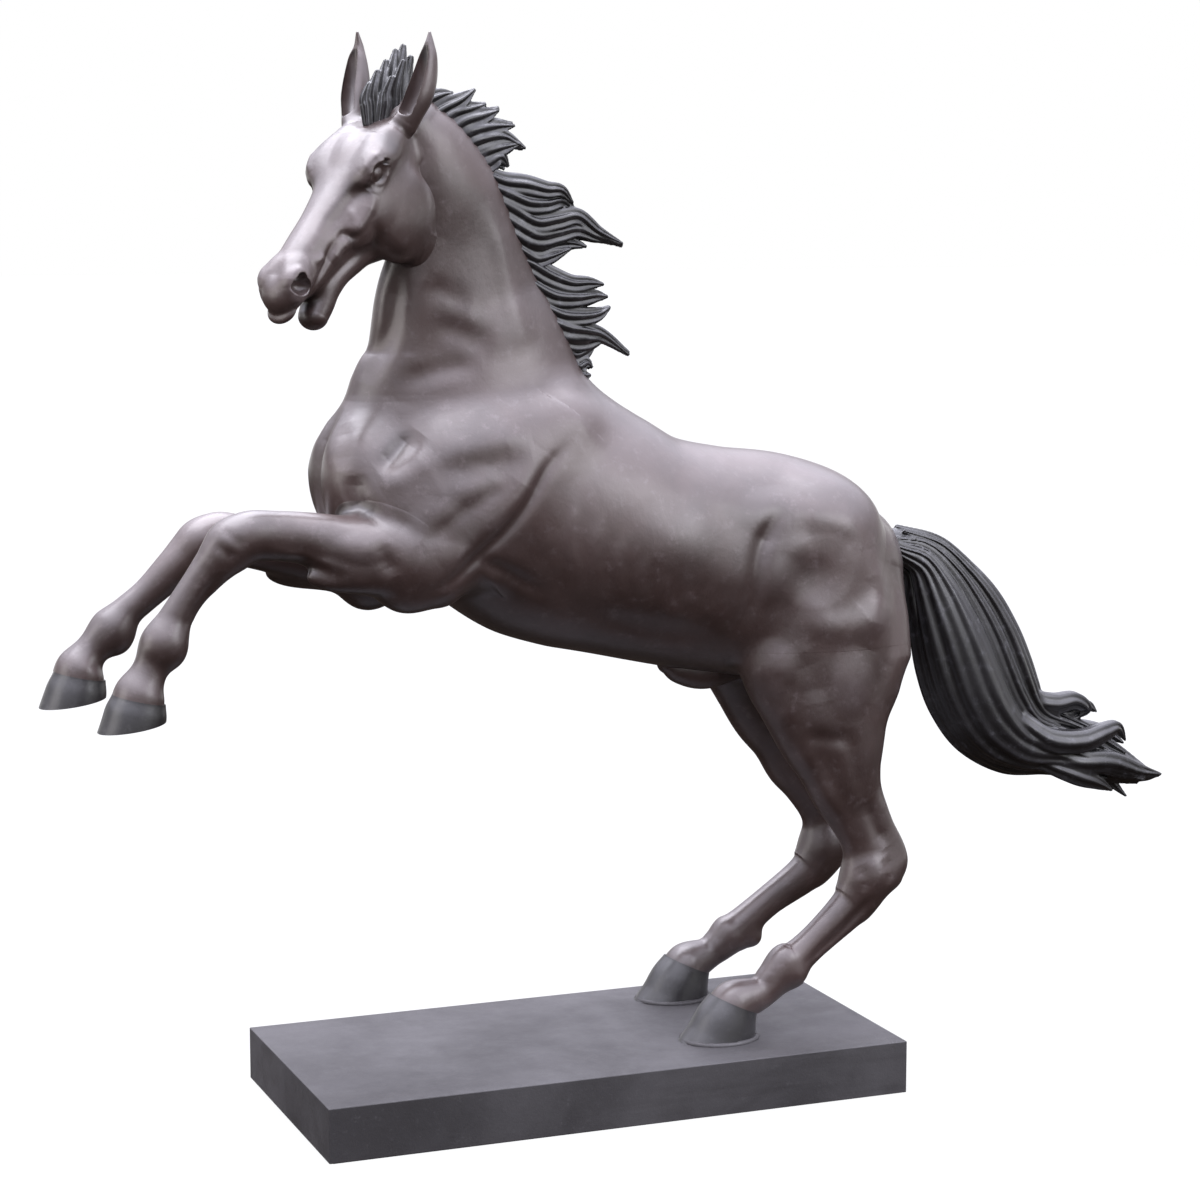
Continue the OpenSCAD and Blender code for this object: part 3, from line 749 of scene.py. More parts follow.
def hind_leg(stations, seam, shift):
    """The muscles and joints of a standing hind leg, placed on the left one and shifted for the right."""
    leg = Leg(stations[:HOCK + 1], seam)
    leg.bar([(*stations[HOCK][:3], *HOCK_SIZE)] + stations[HOCK + 1:], HOCK_BLEND)
    side = -1 if stations[0][1] < 0 else 1

    def at(x, y, z):
        share = min(max((HOCK_TOP - z) / (HOCK_TOP - HOCK_BOTTOM), 0), 1)
        return (x + shift * share, side * y, z)

    leg.lump(at(432, 118, 560), (66, 44, 80), 40, 12)
    leg.lump(at(490, 128, 500), (52, 38, 96), 36, -14)
    leg.ridge([at(372, 150, 560), at(398, 160, 500), at(432, 160, 440), at(480, 160, 370)], 16, 3)
    leg.groove([at(404, 158, 560), at(424, 170, 510), at(452, 168, 450), at(496, 162, 380)], 20, 3)
    leg.groove([at(470, 168, 560), at(480, 170, 500), at(500, 166, 430)], 16, 3)
    leg.groove([at(512, 160, 420), at(532, 160, 372), at(556, 164, 330)], 14, 5)
    leg.ridge([at(540, 150, 440), at(566, 148, 390), at(592, 146, 345), at(600, 146, 312)], 15, 3)
    leg.bar([at(520, 127, 450) + (22, 20), at(556, 130, 368) + (20, 18), at(588, 131, 305) + (24, 21),
             at(580, 132, 268) + (20, 21)], 30)
    leg.lump(at(530, 133, 268), (38, 34, 34), 34, -35)
    leg.groove([at(548, 168, 312), at(562, 170, 288), at(556, 168, 262)], 12, 3)
    leg.groove([at(500, 166, 300), at(512, 170, 276), at(508, 168, 250)], 12, 2.5)
    leg.groove([at(530, 166, 246), at(480, 164, 192), at(430, 162, 152), at(392, 162, 126)], 9, 4)
    leg.ridge([at(548, 150, 236), at(500, 150, 186), at(450, 148, 146), at(410, 150, 116)], 11, 3)
    leg.lump(at(380, 139, 102), (20, 22, 18), 24)
    leg.groove([at(330, 160, 112), at(320, 168, 88), at(322, 160, 62)], 12, 2)
    return leg


def all_legs():
    """The four legs. A foreleg's joints are its elbow, knee, fetlock and the top of its hoof."""
    left_joints = [(-345, -119, 880), (-655, -121, 926), (-766, -120, 774), (-806, -120, 694)]
    right_joints = [(-340, 117, 852), (-652, 115, 902), (-802, 115, 766), (-857, 115, 704)]
    return [
        fore_leg(LEFT_FORE, ELBOW_SEAM, left_joints, -1),
        fore_leg(RIGHT_FORE, ELBOW_SEAM, right_joints, 1),
        hind_leg(LEFT_HIND, THIGH_SEAM, 0),
        hind_leg(RIGHT_HIND, THIGH_SEAM, 42)]


def finish_trunk(form, legs):
    """The trunk's own sculpting, and the legs' strokes where they run up onto it."""
    add_shoulder_muscles(form)
    add_neck_muscles(form)
    add_barrel_shape(form)
    add_hind_muscles(form)
    for leg in legs:
        for step in leg.strokes:
            form.put(*step)
    return form


def starts_before(shape, seam):
    """Whether any of a shape's box can lie before a seam."""
    at, towards = np.array(seam[0]), unit(np.array(seam[1], float))
    middle = (np.array(shape.low) + shape.high) / 2 - at
    half = (np.array(shape.high) - shape.low) / 2
    return middle @ towards < np.abs(towards) @ half


def trunk_form(legs):
    """The trunk with the upper parts of its legs, as far as their seams."""
    form = Form()
    add_trunk(form)
    for leg in legs:
        form.add(Kept(leg.tube, leg.seam), LEG_BLEND)
        for kind, shape, blend in leg.shapes:
            if starts_before(shape, leg.seam):
                form.put(kind, Kept(shape, leg.seam), blend)
    return finish_trunk(form, legs)


def leg_form(legs, leg):
    """A leg, blended into the trunk where it grows from it."""
    whole = Form()
    add_trunk(whole)
    whole.add(leg.tube, LEG_BLEND)
    own = Form([("add", leg.tube, 1)] + leg.shapes)
    for step in leg.shapes:
        whole.put(*step)
    return Grown(finish_trunk(whole, legs), own, LEG_BLEND)


# ---- The head, in its own axes: t down the face from the poll, j towards the jaw, s towards its left side

HEAD_YAW = 30.0
HEAD_BLEND = 14
HEAD_PITCH = math.radians(46)
POLL = np.array([-360.0, -55.0, 1655.0])
AHEAD = np.array([-math.cos(math.radians(HEAD_YAW)), -math.sin(math.radians(HEAD_YAW)), 0])
FACE_AXIS = math.cos(HEAD_PITCH) * AHEAD - np.array([0, 0, math.sin(HEAD_PITCH)])
JAW_AXIS = -math.sin(HEAD_PITCH) * AHEAD - np.array([0, 0, math.cos(HEAD_PITCH)])
LEFT_AXIS = np.array([math.sin(math.radians(HEAD_YAW)), -math.cos(math.radians(HEAD_YAW)), 0])
HEAD_AXES = np.array([FACE_AXIS, JAW_AXIS, LEFT_AXIS])


def in_head(t, j, s=0.0):
    return POLL + FACE_AXIS * t + JAW_AXIS * j + LEFT_AXIS * s


def head_rows(rows):
    """Stations from (how far down the face, where the face and the jaw are, half width)."""
    return [(*in_head(t, (face + jaw) / 2), (jaw - face) / 2, half, HEAD_YAW) for t, face, jaw, half in rows]


def tilted_axes(turn):
    """The head's axes turned in the plane of the face and jaw."""
    c, s = math.cos(math.radians(turn)), math.sin(math.radians(turn))
    return np.array([FACE_AXIS * c + JAW_AXIS * s, JAW_AXIS * c - FACE_AXIS * s, LEFT_AXIS])


def head_pair(form, kind, t, j, s, size, amount, turn=0):
    """A blob on both sides of the head, with its half sizes along t, j and s."""
    for side in (1, -1):
        form.put(kind, Blob(in_head(t, j, side * s), size, tilted_axes(turn)), amount)


def head_line(form, points, width, height):
    """A ridge, or with a negative height a groove, on both sides of the head."""
    for side in (1, -1):
        line = [in_head(t, j, side * s) for t, j, s in points]
        form.push(Stroke(line, width, LEFT_AXIS), height)


def head_form():
    head = Form()
    head.add(Tube(head_rows([
        (-5, 2, 112, 52), (30, -8, 150, 64), (70, -13, 176, 68), (115, -13, 160, 70), (165, -7, 128, 63),
        (215, -1, 110, 52), (265, 1, 100, 45), (315, 2, 94, 41), (350, 5, 84, 38), (382, 10, 70, 33)]), 6), 8)
    add_skull(head)
    add_jaw(head)
    add_muzzle(head)
    add_eyes(head)
    add_face_lines(head)
    return head


def add_skull(head):
    head_pair(head, "add", 98, 14, 42, (72, 30, 35), 30)
    head_pair(head, "add", 124, 8, 58, (44, 19, 20), 22, 8)
    head_pair(head, "add", 138, 116, 48, (80, 82, 34), 24)
    head_pair(head, "add", 176, 62, 44, (70, 34, 24), 20, 10)
    face = [(110, -11, 40, 62), (190, -5, 40, 46), (270, 0, 36, 34), (345, 0, 40, 29)]
    head.add(Tube(head_rows(face), 6), 12)
    head.push(Blob(in_head(100, -14), (60, 30, 34), HEAD_AXES), 4)


def add_jaw(head):
    head.add(Tube(head_rows([
        (170, 100, 176, 48), (215, 80, 148, 45), (250, 70, 137, 41), (285, 66, 129, 37), (318, 72, 130, 33),
        (345, 86, 137, 30), (366, 94, 141, 27)]), 6), 16)


def add_muzzle(head):
    head_pair(head, "add", 364, 31, 20, (36, 29, 23), 16, 20)
    head.add(Blob(in_head(392, 42), (30, 24, 32), tilted_axes(25)), 16)
    head.add(Blob(in_head(408, 57), (24, 10, 31), tilted_axes(20)), 5)
    head_pair(head, "push", 377, 27, 38, (34, 34, 28), 6)
    head_pair(head, "cut", 378, 31, 45, (15, 21, 21), 3, 30)
    head_pair(head, "cut", 368, 22, 40, (10, 9, 14), 4)
    head_line(head, [(352, 22, 36), (362, 10, 34), (378, 8, 32), (394, 18, 34)], 7, 5)
    head_line(head, [(396, 30, 38), (400, 44, 38), (386, 54, 40), (368, 46, 40)], 7, 3)


def add_eyes(head):
    head_pair(head, "push", 141, 14, 76, (34, 25, 28), -9, 20)
    head_pair(head, "add", 140, 13, 56, (20, 16, 19), 2)
    head_line(head, [(116, 16, 80), (123, 3, 82), (138, -3, 82), (152, 1, 78), (164, 13, 70)], 6, 5)
    head_line(head, [(120, 20, 80), (132, 29, 80), (146, 30, 78), (160, 20, 70)], 6, 3)
    head_line(head, [(112, -4, 78), (126, -13, 78), (146, -14, 72), (162, -8, 60)], 8, 4)
    head_line(head, [(114, 6, 80), (122, 12, 82)], 5, -5)
    head_line(head, [(158, 14, 70), (172, 21, 62)], 7, -2.5)
    head_pair(head, "push", 84, 4, 66, (36, 30, 26), -5)


def add_face_lines(head):
    """The facial crest, the line of the cheek, the veins and the folds round the mouth."""
    head_line(head, [(168, 34, 62), (196, 44, 58), (222, 50, 52), (250, 50, 46)], 9, 6)
    head_line(head, [(160, 18, 58), (195, 16, 46), (235, 16, 40), (285, 18, 34)], 11, -5)
    head_line(head, [(205, 20, 46), (218, 36, 50), (236, 60, 50)], 6, 1.5)
    head_line(head, [(200, 62, 62), (208, 90, 62), (206, 120, 60), (196, 146, 54), (170, 172, 50)], 10, -6)
    head_line(head, [(70, 60, 84), (58, 96, 84), (64, 134, 82), (84, 164, 78), (118, 186, 70)], 12, -8)
    head_line(head, [(402, 64, 36), (370, 62, 40), (328, 52, 42), (290, 42, 42), (266, 38, 44)], 7, -6)
    head_line(head, [(266, 38, 44), (248, 46, 50), (238, 68, 54)], 7, -4)
    head_line(head, [(300, 62, 40), (270, 58, 44), (250, 66, 50)], 11, 4)
    head_line(head, [(336, 82, 38), (295, 84, 42), (242, 94, 50)], 8, -4)
    head_line(head, [(330, 24, 36), (312, 36, 40), (300, 40, 42)], 9, 3)


# ---- Ears

EAR_YAW = 20
LEFT_EAR_SHARE = 0.8  # the left ear's share of the right ear's width
EAR_BLEND = 14


def ear_form(skin, side):
    """One ear: a leaf that is hollowed at the front, growing out of the head."""
    tip = (-112, -60, 80) if side > 0 else (-112, -68, -80)
    rows = [(22, 16, 58, 24, 20), (0, 8, 66, 23, 23), (-24, -2, 73, 25, 25), (-52, -17, 78, 23, 22),
            (-80, -36, 81, 17, 15), (-98, -49, 81, 9, 8)]
    if side > 0:
        rows = [(t, j, s, deep, LEFT_EAR_SHARE * wide) for t, j, s, deep, wide in rows]
    stations = [(*in_head(t, j, side * s), deep, wide, EAR_YAW) for t, j, s, deep, wide in rows]
    stations.append((*in_head(*tip), 2.5, 2.5, EAR_YAW))
    own = Form([("add", Tube(stations, 4), 1)])
    whole = Form(skin.steps)
    whole.add(Tube(stations, 4), EAR_BLEND)
    hollow = [(*(in_head(t, j, side * s) + AHEAD * 15), deep * 0.72, wide * 0.6, EAR_YAW)
              for t, j, s, deep, wide in rows[1:]]
    whole.cut(Tube(hollow, 4), 3)
    return Grown(whole, own, EAR_BLEND)


# ---- Hair

def lock(points, root, tip, flat, flutes, yaw=0):
    """A lock of hair: a tube with flutes (how many, how deep, how far they turn a sample) that swells near
    its root and thins to its tip."""
    n = len(points)
    rows = []
    for k, point in enumerate(points):
        t = k / (n - 1)
        size = tip + (root - tip) * (1 - t**2.2) ** 0.9 * min(1, 0.7 + t)
        rows.append((*point, size, size * flat, yaw))
    return Tube(rows, 4, flutes)


def hair_form(locks, blend=4.0):
    form = Form()
    for shape in locks:
        form.add(shape, blend)
    return form


def wave(points, amount, phase):
    """Points with a gentle sideways wave that grows towards the tip."""
    out = []
    for k, (x, y, z) in enumerate(points):
        t = k / (len(points) - 1)
        sideways, up = amount * t * math.sin(phase + 4 * t), 0.35 * amount * t * math.cos(phase + 5 * t)
        out.append((x, y + sideways, z + up))
    return out


def mane_locks(guides, layers):
    """Locks side by side in the mane's layers, which draw together towards their tips. A guide is a lock's
    size, the y of its middle layer, and its points (x, z) from the crest to the tip."""
    out = []
    for row, (size, middle, points) in enumerate(guides):
        for layer in layers:
            line = [(x, middle + layer * (1 - 0.55 * k / (len(points) - 1)), z)
                    for k, (x, z) in enumerate(points)]
            out.append(lock(wave(line, 8, row + layer), 1.3 * size, 3.0, 0.7, (7, 1.9, 0.015)))
    return out


MANE_UPPER = [
    (15, -46, [(-300, 1640), (-278, 1664), (-255, 1676), (-236, 1678)]),
    (17, -44, [(-285, 1630), (-255, 1650), (-222, 1666), (-194, 1684)]),
    (17, -42, [(-268, 1618), (-238, 1642), (-205, 1650), (-172, 1662)]),
    (18, -40, [(-252, 1606), (-215, 1630), (-180, 1640), (-146, 1655)]),
    (18, -38, [(-236, 1594), (-196, 1614), (-158, 1624), (-118, 1630)]),
    (17, -36, [(-222, 1580), (-180, 1600), (-140, 1608), (-100, 1590)]),
    (16, -34, [(-206, 1566), (-172, 1580), (-142, 1590), (-112, 1594)]),
    (14, -32, [(-192, 1550), (-166, 1562), (-146, 1572), (-130, 1556)])]
MANE_MIDDLE = [
    (17, -30, [(-180, 1545), (-140, 1530), (-100, 1526), (-62, 1517), (-34, 1514), (-10, 1494)]),
    (18, -28, [(-170, 1524), (-130, 1508), (-95, 1494), (-60, 1492), (-30, 1496), (0, 1478)]),
    (18, -26, [(-160, 1500), (-120, 1480), (-80, 1460), (-40, 1464), (0, 1470), (40, 1444), (88, 1423)]),
    (17, -26, [(-150, 1476), (-112, 1452), (-76, 1436), (-36, 1442), (0, 1450), (34, 1440), (60, 1430)]),
    (16, -24, [(-140, 1452), (-106, 1428), (-74, 1416), (-40, 1426), (-10, 1428), (17, 1421)]),
    (15, -24, [(-130, 1428), (-100, 1408), (-76, 1398), (-48, 1404), (-14, 1414)])]
MANE_LOWER = [
    (17, -18, [(-122, 1402), (-86, 1388), (-50, 1370), (-10, 1357), (24, 1356), (50, 1352)]),
    (18, -16, [(-114, 1376), (-80, 1352), (-42, 1334), (0, 1330), (34, 1332), (60, 1330)]),
    (18, -14, [(-104, 1348), (-70, 1320), (-30, 1300), (10, 1296), (44, 1300), (68, 1312)]),
    (18, -14, [(-94, 1322), (-58, 1294), (-18, 1276), (20, 1270), (56, 1262), (106, 1231)]),
    (17, -12, [(-84, 1296), (-46, 1268), (-8, 1254), (24, 1254), (52, 1262), (70, 1256)]),
    (16, -12, [(-70, 1272), (-34, 1246), (-4, 1230), (20, 1236), (38, 1247)]),
    (15, -10, [(-52, 1250), (-20, 1226), (6, 1210), (22, 1216), (32, 1207)]),
    (13, -10, [(-36, 1226), (-8, 1204), (14, 1194), (30, 1192)])]
# Each lock's root (x, y), tip (x, z) and size
FORELOCK = [
    (-384, -62, -382, 1692, 17), (-372, -56, -366, 1712, 20), (-356, -50, -348, 1730, 22),
    (-340, -46, -328, 1750, 24), (-326, -40, -312, 1760, 23), (-314, -34, -298, 1742, 19),
    (-352, -68, -344, 1704, 17), (-336, -60, -322, 1730, 19)]
CROWN = 1652  # the height of the head between the ears


def forelock_locks():
    out = []
    for k, (x, y, tip_x, tip_z, size) in enumerate(FORELOCK):
        low = in_head(34, 6, 0) * 0.25 + np.array([x, y, CROWN]) * 0.75
        middle = ((x + tip_x) / 2 - 4, y, (CROWN + tip_z) / 2)
        line = [tuple(low - np.array([0, 0, 18])), (x, y, CROWN + 8), middle, (tip_x, y + 4, tip_z)]
        out.append(lock(wave(line, 5, k), size, 6.0, 0.6, (7, 1.8, 0.015), HEAD_YAW))
    return out


TAIL = [
    (612, 0, 866, 36, 34), (650, 0, 868, 38, 36), (690, 0, 856, 44, 40), (730, 0, 818, 64, 48),
    (762, 0, 762, 86, 56), (792, 0, 705, 102, 62), (820, 0, 640, 110, 64), (848, 0, 580, 108, 62),
    (886, 0, 525, 96, 58), (935, 0, 488, 78, 54), (1010, 0, 466, 64, 46), (1085, 0, 436, 56, 40),
    (1140, 0, 410, 44, 32), (1200, 0, 388, 20, 16), (1232, 0, 385, 6, 6)]


LOCK_SAMPLES = 12
TAIL_CORE = (0.7, 0.62)  # the core's share of the tail's depth and width
TAIL_LOCKS = (0.80, 0.78)  # how far out the locks' middles lie, in the same shares


def tail_lock(path, across, side, start, end, size):
    """A lock that follows the tail. across runs from -1 at one edge of its depth to 1 at the other, and side
    from -1 on its left to 1 on its right."""
    rows = path.rows
    first, last = int(start * (len(rows) - 1)), int(end * (len(rows) - 1))
    out = []
    for k, i in enumerate(np.linspace(first, last, LOCK_SAMPLES).astype(int)):
        t = k / (LOCK_SAMPLES - 1)
        tangent = path.tangent[i]
        outward = np.array([tangent[2], 0, -tangent[0]])
        u = across * rows[i, 3] * TAIL_LOCKS[0]
        v = side * rows[i, 4] * TAIL_LOCKS[1]
        point = rows[i, :3] + outward * u + np.array([0, v, 0])
        swelling = math.sin(math.pi * min(1, 0.22 + 0.5 * t)) * (1 - 0.85 * max(0, t - 0.6) / 0.4)
        full = size * rows[i, 3] / 100
        out.append((*point, max(3, full * swelling), max(3, full * swelling * 0.8), 0))
    return Tube(out, 5, (7, 1.5, 0.004))


def tail_form():
    path = Path(TAIL, 6)
    locks = [Tube([(x, y, z, a * TAIL_CORE[0], b * TAIL_CORE[1]) for x, y, z, a, b in TAIL], 6)]
    for across, side, size in [
            (-0.95, 0.0, 24), (-0.78, -0.6, 19), (-0.78, 0.6, 19), (-0.45, -0.8, 17), (-0.45, 0.8, 17),
            (-0.12, -0.86, 18), (-0.12, 0.86, 18), (0.22, -0.95, 31), (0.22, 0.95, 31), (0.52, -0.86, 34),
            (0.52, 0.86, 34), (0.8, -0.56, 34), (0.8, 0.56, 34), (0.98, 0.0, 34)]:
        start = 0.02 + 0.05 * RANDOM.random()
        locks.append(tail_lock(path, across, side, start, 0.86 + 0.1 * RANDOM.random(), size))
    return hair_form(locks + tail_ends(), 6)


def tail_ends():
    """The curl on top of the tail's end and its separate points."""
    lines = [
        (24, [(900, -10, 590), (940, -16, 556), (985, -18, 545), (1030, -14, 548), (1062, -8, 530),
              (1050, -4, 512)]),
        (22, [(930, 10, 545), (980, 12, 516), (1030, 10, 522), (1070, 6, 532), (1092, 2, 520)]),
        (26, [(900, -40, 520), (960, -46, 482), (1030, -44, 474), (1085, -36, 486), (1122, -24, 490),
              (1150, -12, 462)]),
        (24, [(940, 38, 500), (1010, 40, 480), (1080, 34, 480), (1130, 22, 470), (1160, 12, 452)]),
        (26, [(960, -20, 440), (1040, -26, 430), (1110, -22, 424), (1180, -10, 400), (1240, 0, 386)]),
        (22, [(980, 20, 420), (1060, 24, 404), (1120, 20, 388), (1168, 10, 346)]),
        (20, [(960, -30, 432), (1030, -30, 404), (1080, -24, 386), (1120, -16, 366)]),
        (20, [(1020, 30, 452), (1090, 28, 440), (1150, 20, 420), (1205, 10, 396)])]
    return [lock(points, size, 2.5, 0.8, (6, 1.4, 0.01)) for size, points in lines]


# ---- Hooves

HOOF_WALL = 1  # how much wider than its stations a hoof is, so that it covers the leg inside it
ABOVE_HOOF, BELOW_HOOF = 14, 30  # how far its form runs on past its first and last stations
HOOF_LENGTH = 60  # over which a hoof widens from its first station to its last


def hoof_form(foot):
    """A hoof, carried on past both of its seams."""
    rows = np.array(foot, float)
    first, last = rows[0], rows[-1]
    axis = unit(last[:3] - first[:3])
    grow = (last[3] - first[3]) / HOOF_LENGTH
    rows[:, 3:] += HOOF_WALL
    start = (*(first[:3] - axis * ABOVE_HOOF), *first[3:])
    end = (*(last[:3] + axis * BELOW_HOOF), last[3] + 25 * grow, last[4] + 12 * grow)
    return Form([("add", Tube([start, *rows, end], 4), 1)])


# ---- Materials

class Nodes:
    """A material's node tree, built a node at a time."""

    def __init__(self, name):
        self.material = bpy.data.materials.new(name)
        self.material.use_nodes = True
        self.tree = self.material.node_tree
        self.shader = self.tree.nodes["Principled BSDF"]
        self.place = self.new("ShaderNodeTexCoord").outputs["Object"]

    def new(self, kind, **settings):
        node = self.tree.nodes.new(kind)
        for key, value in settings.items():
            setattr(node, key, value)
        return node

    def link(self, value, socket):
        if isinstance(value, bpy.types.NodeSocket):
            self.tree.links.new(value, socket)
        else:
            socket.default_value = value

    def noise(self, scale, detail=4.0, roughness=0.55, distortion=0.0, stretch=(1, 1, 1)):
        mapping = self.new("ShaderNodeMapping")
        mapping.inputs["Scale"].default_value = stretch
        self.link(self.place, mapping.inputs["Vector"])
        node = self.new("ShaderNodeTexNoise")
        self.link(mapping.outputs["Vector"], node.inputs["Vector"])
        node.inputs["Scale"].default_value = scale
        node.inputs["Detail"].default_value = detail
        node.inputs["Roughness"].default_value = roughness
        node.inputs["Distortion"].default_value = distortion
        return node.outputs["Fac"]

    def hollow(self):
        return self.new("ShaderNodeAttribute", attribute_name=HOLLOW).outputs["Fac"]

    def spread(self, value, low, high, to_low=0.0, to_high=1.0):
        """Maps a range smoothly to another."""
        node = self.new("ShaderNodeMapRange", interpolation_type="SMOOTHSTEP")
        self.link(value, node.inputs["Value"])
        node.inputs["From Min"].default_value = low
        node.inputs["From Max"].default_value = high
        node.inputs["To Min"].default_value = to_low
        node.inputs["To Max"].default_value = to_high
        return node.outputs["Result"]

    def mix(self, share, first, second):
        node = self.new("ShaderNodeMix", data_type="RGBA")
        self.link(share, node.inputs["Factor"])
        self.link(first, node.inputs["A"])
        self.link(second, node.inputs["B"])
        return node.outputs["Result"]

    def times(self, first, second):
        node = self.new("ShaderNodeMath", operation="MULTIPLY")
        self.link(first, node.inputs[0])
        self.link(second, node.inputs[1])
        return node.outputs[0]

    def bump(self, height, distance, strength, under=None):
        node = self.new("ShaderNodeBump")
        self.link(height, node.inputs["Height"])
        node.inputs["Distance"].default_value = distance
        node.inputs["Strength"].default_value = strength
        if under is not None:
            self.link(under, node.inputs["Normal"])
        return node.outputs["Normal"]

    def finish(self, colour, roughness, normal, **plain):
        self.link(colour, self.shader.inputs["Base Color"])
        self.link(roughness, self.shader.inputs["Roughness"])
        self.link(normal, self.shader.inputs["Normal"])
        for key, value in plain.items():
            self.shader.inputs[key.replace("_", " ")].default_value = value
        return self.material


def rgb(*c):
    return (*c, 1.0)


def patinated_bronze(name, dark, middle, worn, rough, metallic, coat, marks=1.0):
    """Waxed bronze: dark tones that drift over the surface, rubbed on the ridges, with painted shade that
    darkens the creases with their darker patina, the modelling tool's soft marks and a fine cast grain."""
    n = Nodes(name)
    drift = n.spread(n.noise(4.5, 5, 0.6, 0.3), 0.35, 0.68)
    colour = n.mix(drift, dark, middle)
    flecks = n.spread(n.noise(46, 6, 0.7), 0.52, 0.75, 0, 0.45)
    colour = n.mix(flecks, colour, worn)
    ridge = n.spread(n.hollow(), -0.25, 0.0, 0.6, 0)
    rubbed = n.times(ridge, n.spread(n.noise(18, 4, 0.6), 0.3, 0.7, 0.3, 1.0))
    colour = n.mix(rubbed, colour, worn)
    # painted shade: the creases darken towards a third of the dark tone, for their shade and their darker
    # patina
    crease_shade = n.spread(n.hollow(), 0.06, 0.5, 0, 0.85)
    colour = n.mix(crease_shade, colour, tuple(0.35 * c for c in dark[:3]) + (1,))
    roughness = n.spread(n.noise(17, 5, 0.6), 0.3, 0.7, rough - 0.06, rough + 0.07)
    tool = n.bump(n.noise(30, 3, 0.5, 0.6, (1, 1, 0.6)), 0.004 * marks, 0.28)
    grain = n.bump(n.noise(170, 4, 0.6), 0.0009, 0.35, tool)
    return n.finish(colour, roughness, grain, Metallic=metallic, Coat_Weight=coat, Coat_Roughness=0.3,
                    Specular_IOR_Level=0.85)


def base_bronze():
    """The base's plates, with a grey weathered bloom, scuffs and darker streaks."""
    n = Nodes("base_bronze")
    clouds = n.spread(n.noise(3.2, 6, 0.62, 0.4), 0.32, 0.7)
    colour = n.mix(clouds, rgb(0.048, 0.045, 0.047), rgb(0.088, 0.084, 0.087))
    specks = n.spread(n.noise(90, 5, 0.7), 0.55, 0.8, 0, 0.5)
    colour = n.mix(specks, colour, rgb(0.11, 0.106, 0.11))
    streaks = n.spread(n.noise(9, 5, 0.6, 0.2, (0.25, 1, 3)), 0.5, 0.75, 0, 0.35)
    colour = n.mix(streaks, colour, rgb(0.03, 0.027, 0.027))
    roughness = n.spread(n.noise(14, 5, 0.65), 0.3, 0.7, 0.5, 0.66)
    wide = n.bump(n.noise(11, 3, 0.5), 0.003, 0.18)
    grain = n.bump(n.noise(210, 4, 0.65), 0.001, 0.35, wide)
    return n.finish(colour, roughness, grain, Metallic=0.35, Specular_IOR_Level=0.5)


def plain_steel():
    n = Nodes("steel")
    colour = n.mix(n.noise(30, 4), rgb(0.38, 0.38, 0.39), rgb(0.5, 0.5, 0.51))
    roughness = n.spread(n.noise(60, 3), 0.3, 0.7, 0.3, 0.45)
    drawn = n.bump(n.noise(300, 2, 0.5, 0, (1, 1, 0.1)), 0.0004, 0.3)
    return n.finish(colour, roughness, drawn, Metallic=1.0)


# ---- The base

BASE_NODES = ["base_top_plate", "base_front_wall", "base_rear_wall", "base_left_wall", "base_right_wall"]
STEEL_NODES = ["backing_plates", "hoof_studs", "stud_washers", "stud_nuts", "left_leg_bar", "right_leg_bar",
               "hip_crossbar", "spine_tube", "neck_bar"]
EDGE = 0.0016  # how far the base's outer edges are softened, in metres
SAME = 1e-6  # corners this near each other are joined, in metres
BEAD_DROPS = 80
BEAD_SIZE, BEAD_SPREAD = 4.2, 1.6  # a drop's least half size, and how much more it may be
BEAD_OUT = (5, 2.5)  # how far outside the hoof's half sizes the drops' centres run
BEAD_AHEAD, BEAD_HEIGHT = 2, 1.0  # where the ring's middle lies, past the hoof's last station


def base_corners():
    """The whole base's low and high corners, in metres."""
    boxes = [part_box(node) for node in BASE_NODES]
    low = [min(b[0][k] for b in boxes) for k in range(3)]
    high = [max(b[1][k] for b in boxes) for k in range(3)]
    return low, high


def on_outer_edge(edge, low, high):
    """Whether an edge is one of the twelve edges of the whole base's box."""
    a, b = [v.co for v in edge.verts]
    flat = sum(1 for k in range(3) if max(abs(a[k] - low[k]), abs(b[k] - low[k])) < CLOSE
               or max(abs(a[k] - high[k]), abs(b[k] - high[k])) < CLOSE)
    return flat >= 2


def base_plate(node, material):
    """A base plate as the CAD has it, with its outer edges softened."""
    low, high = base_corners()
    bm = bmesh.new()
    bm.from_mesh(bpy.data.objects[node].data)
    bmesh.ops.remove_doubles(bm, verts=bm.verts, dist=SAME)
    edges = [e for e in bm.edges if on_outer_edge(e, low, high)]
    bmesh.ops.bevel(bm, geom=edges, offset=EDGE, segments=3, affect="EDGES", profile=0.5)
    bmesh.ops.recalc_face_normals(bm, faces=bm.faces)
    mesh = bpy.data.meshes.new("plate_" + node)
    bm.to_mesh(mesh)
    bm.free()
    mesh.materials.clear()
    piece_object("plate_" + node, mesh, [node], material)


def weld_bead(foot):
    """The bead of metal that runs round a hoof where it meets the base: a ring of overlapping drops."""
    x, y = foot[-1][0] - BEAD_AHEAD, foot[-1][1]
    long_way, short_way = foot[-1][3] + BEAD_OUT[0], foot[-1][4] + BEAD_OUT[1]
    form = Form()
    for angle in np.linspace(0, 2 * math.pi, BEAD_DROPS, endpoint=False):
        size = BEAD_SIZE + BEAD_SPREAD * RANDOM.random()
        place = (x + long_way * math.cos(angle), y + short_way * math.sin(angle), BEAD_HEIGHT)
        form.add(Blob(place, size), 4)
    return form


# ---- Stage

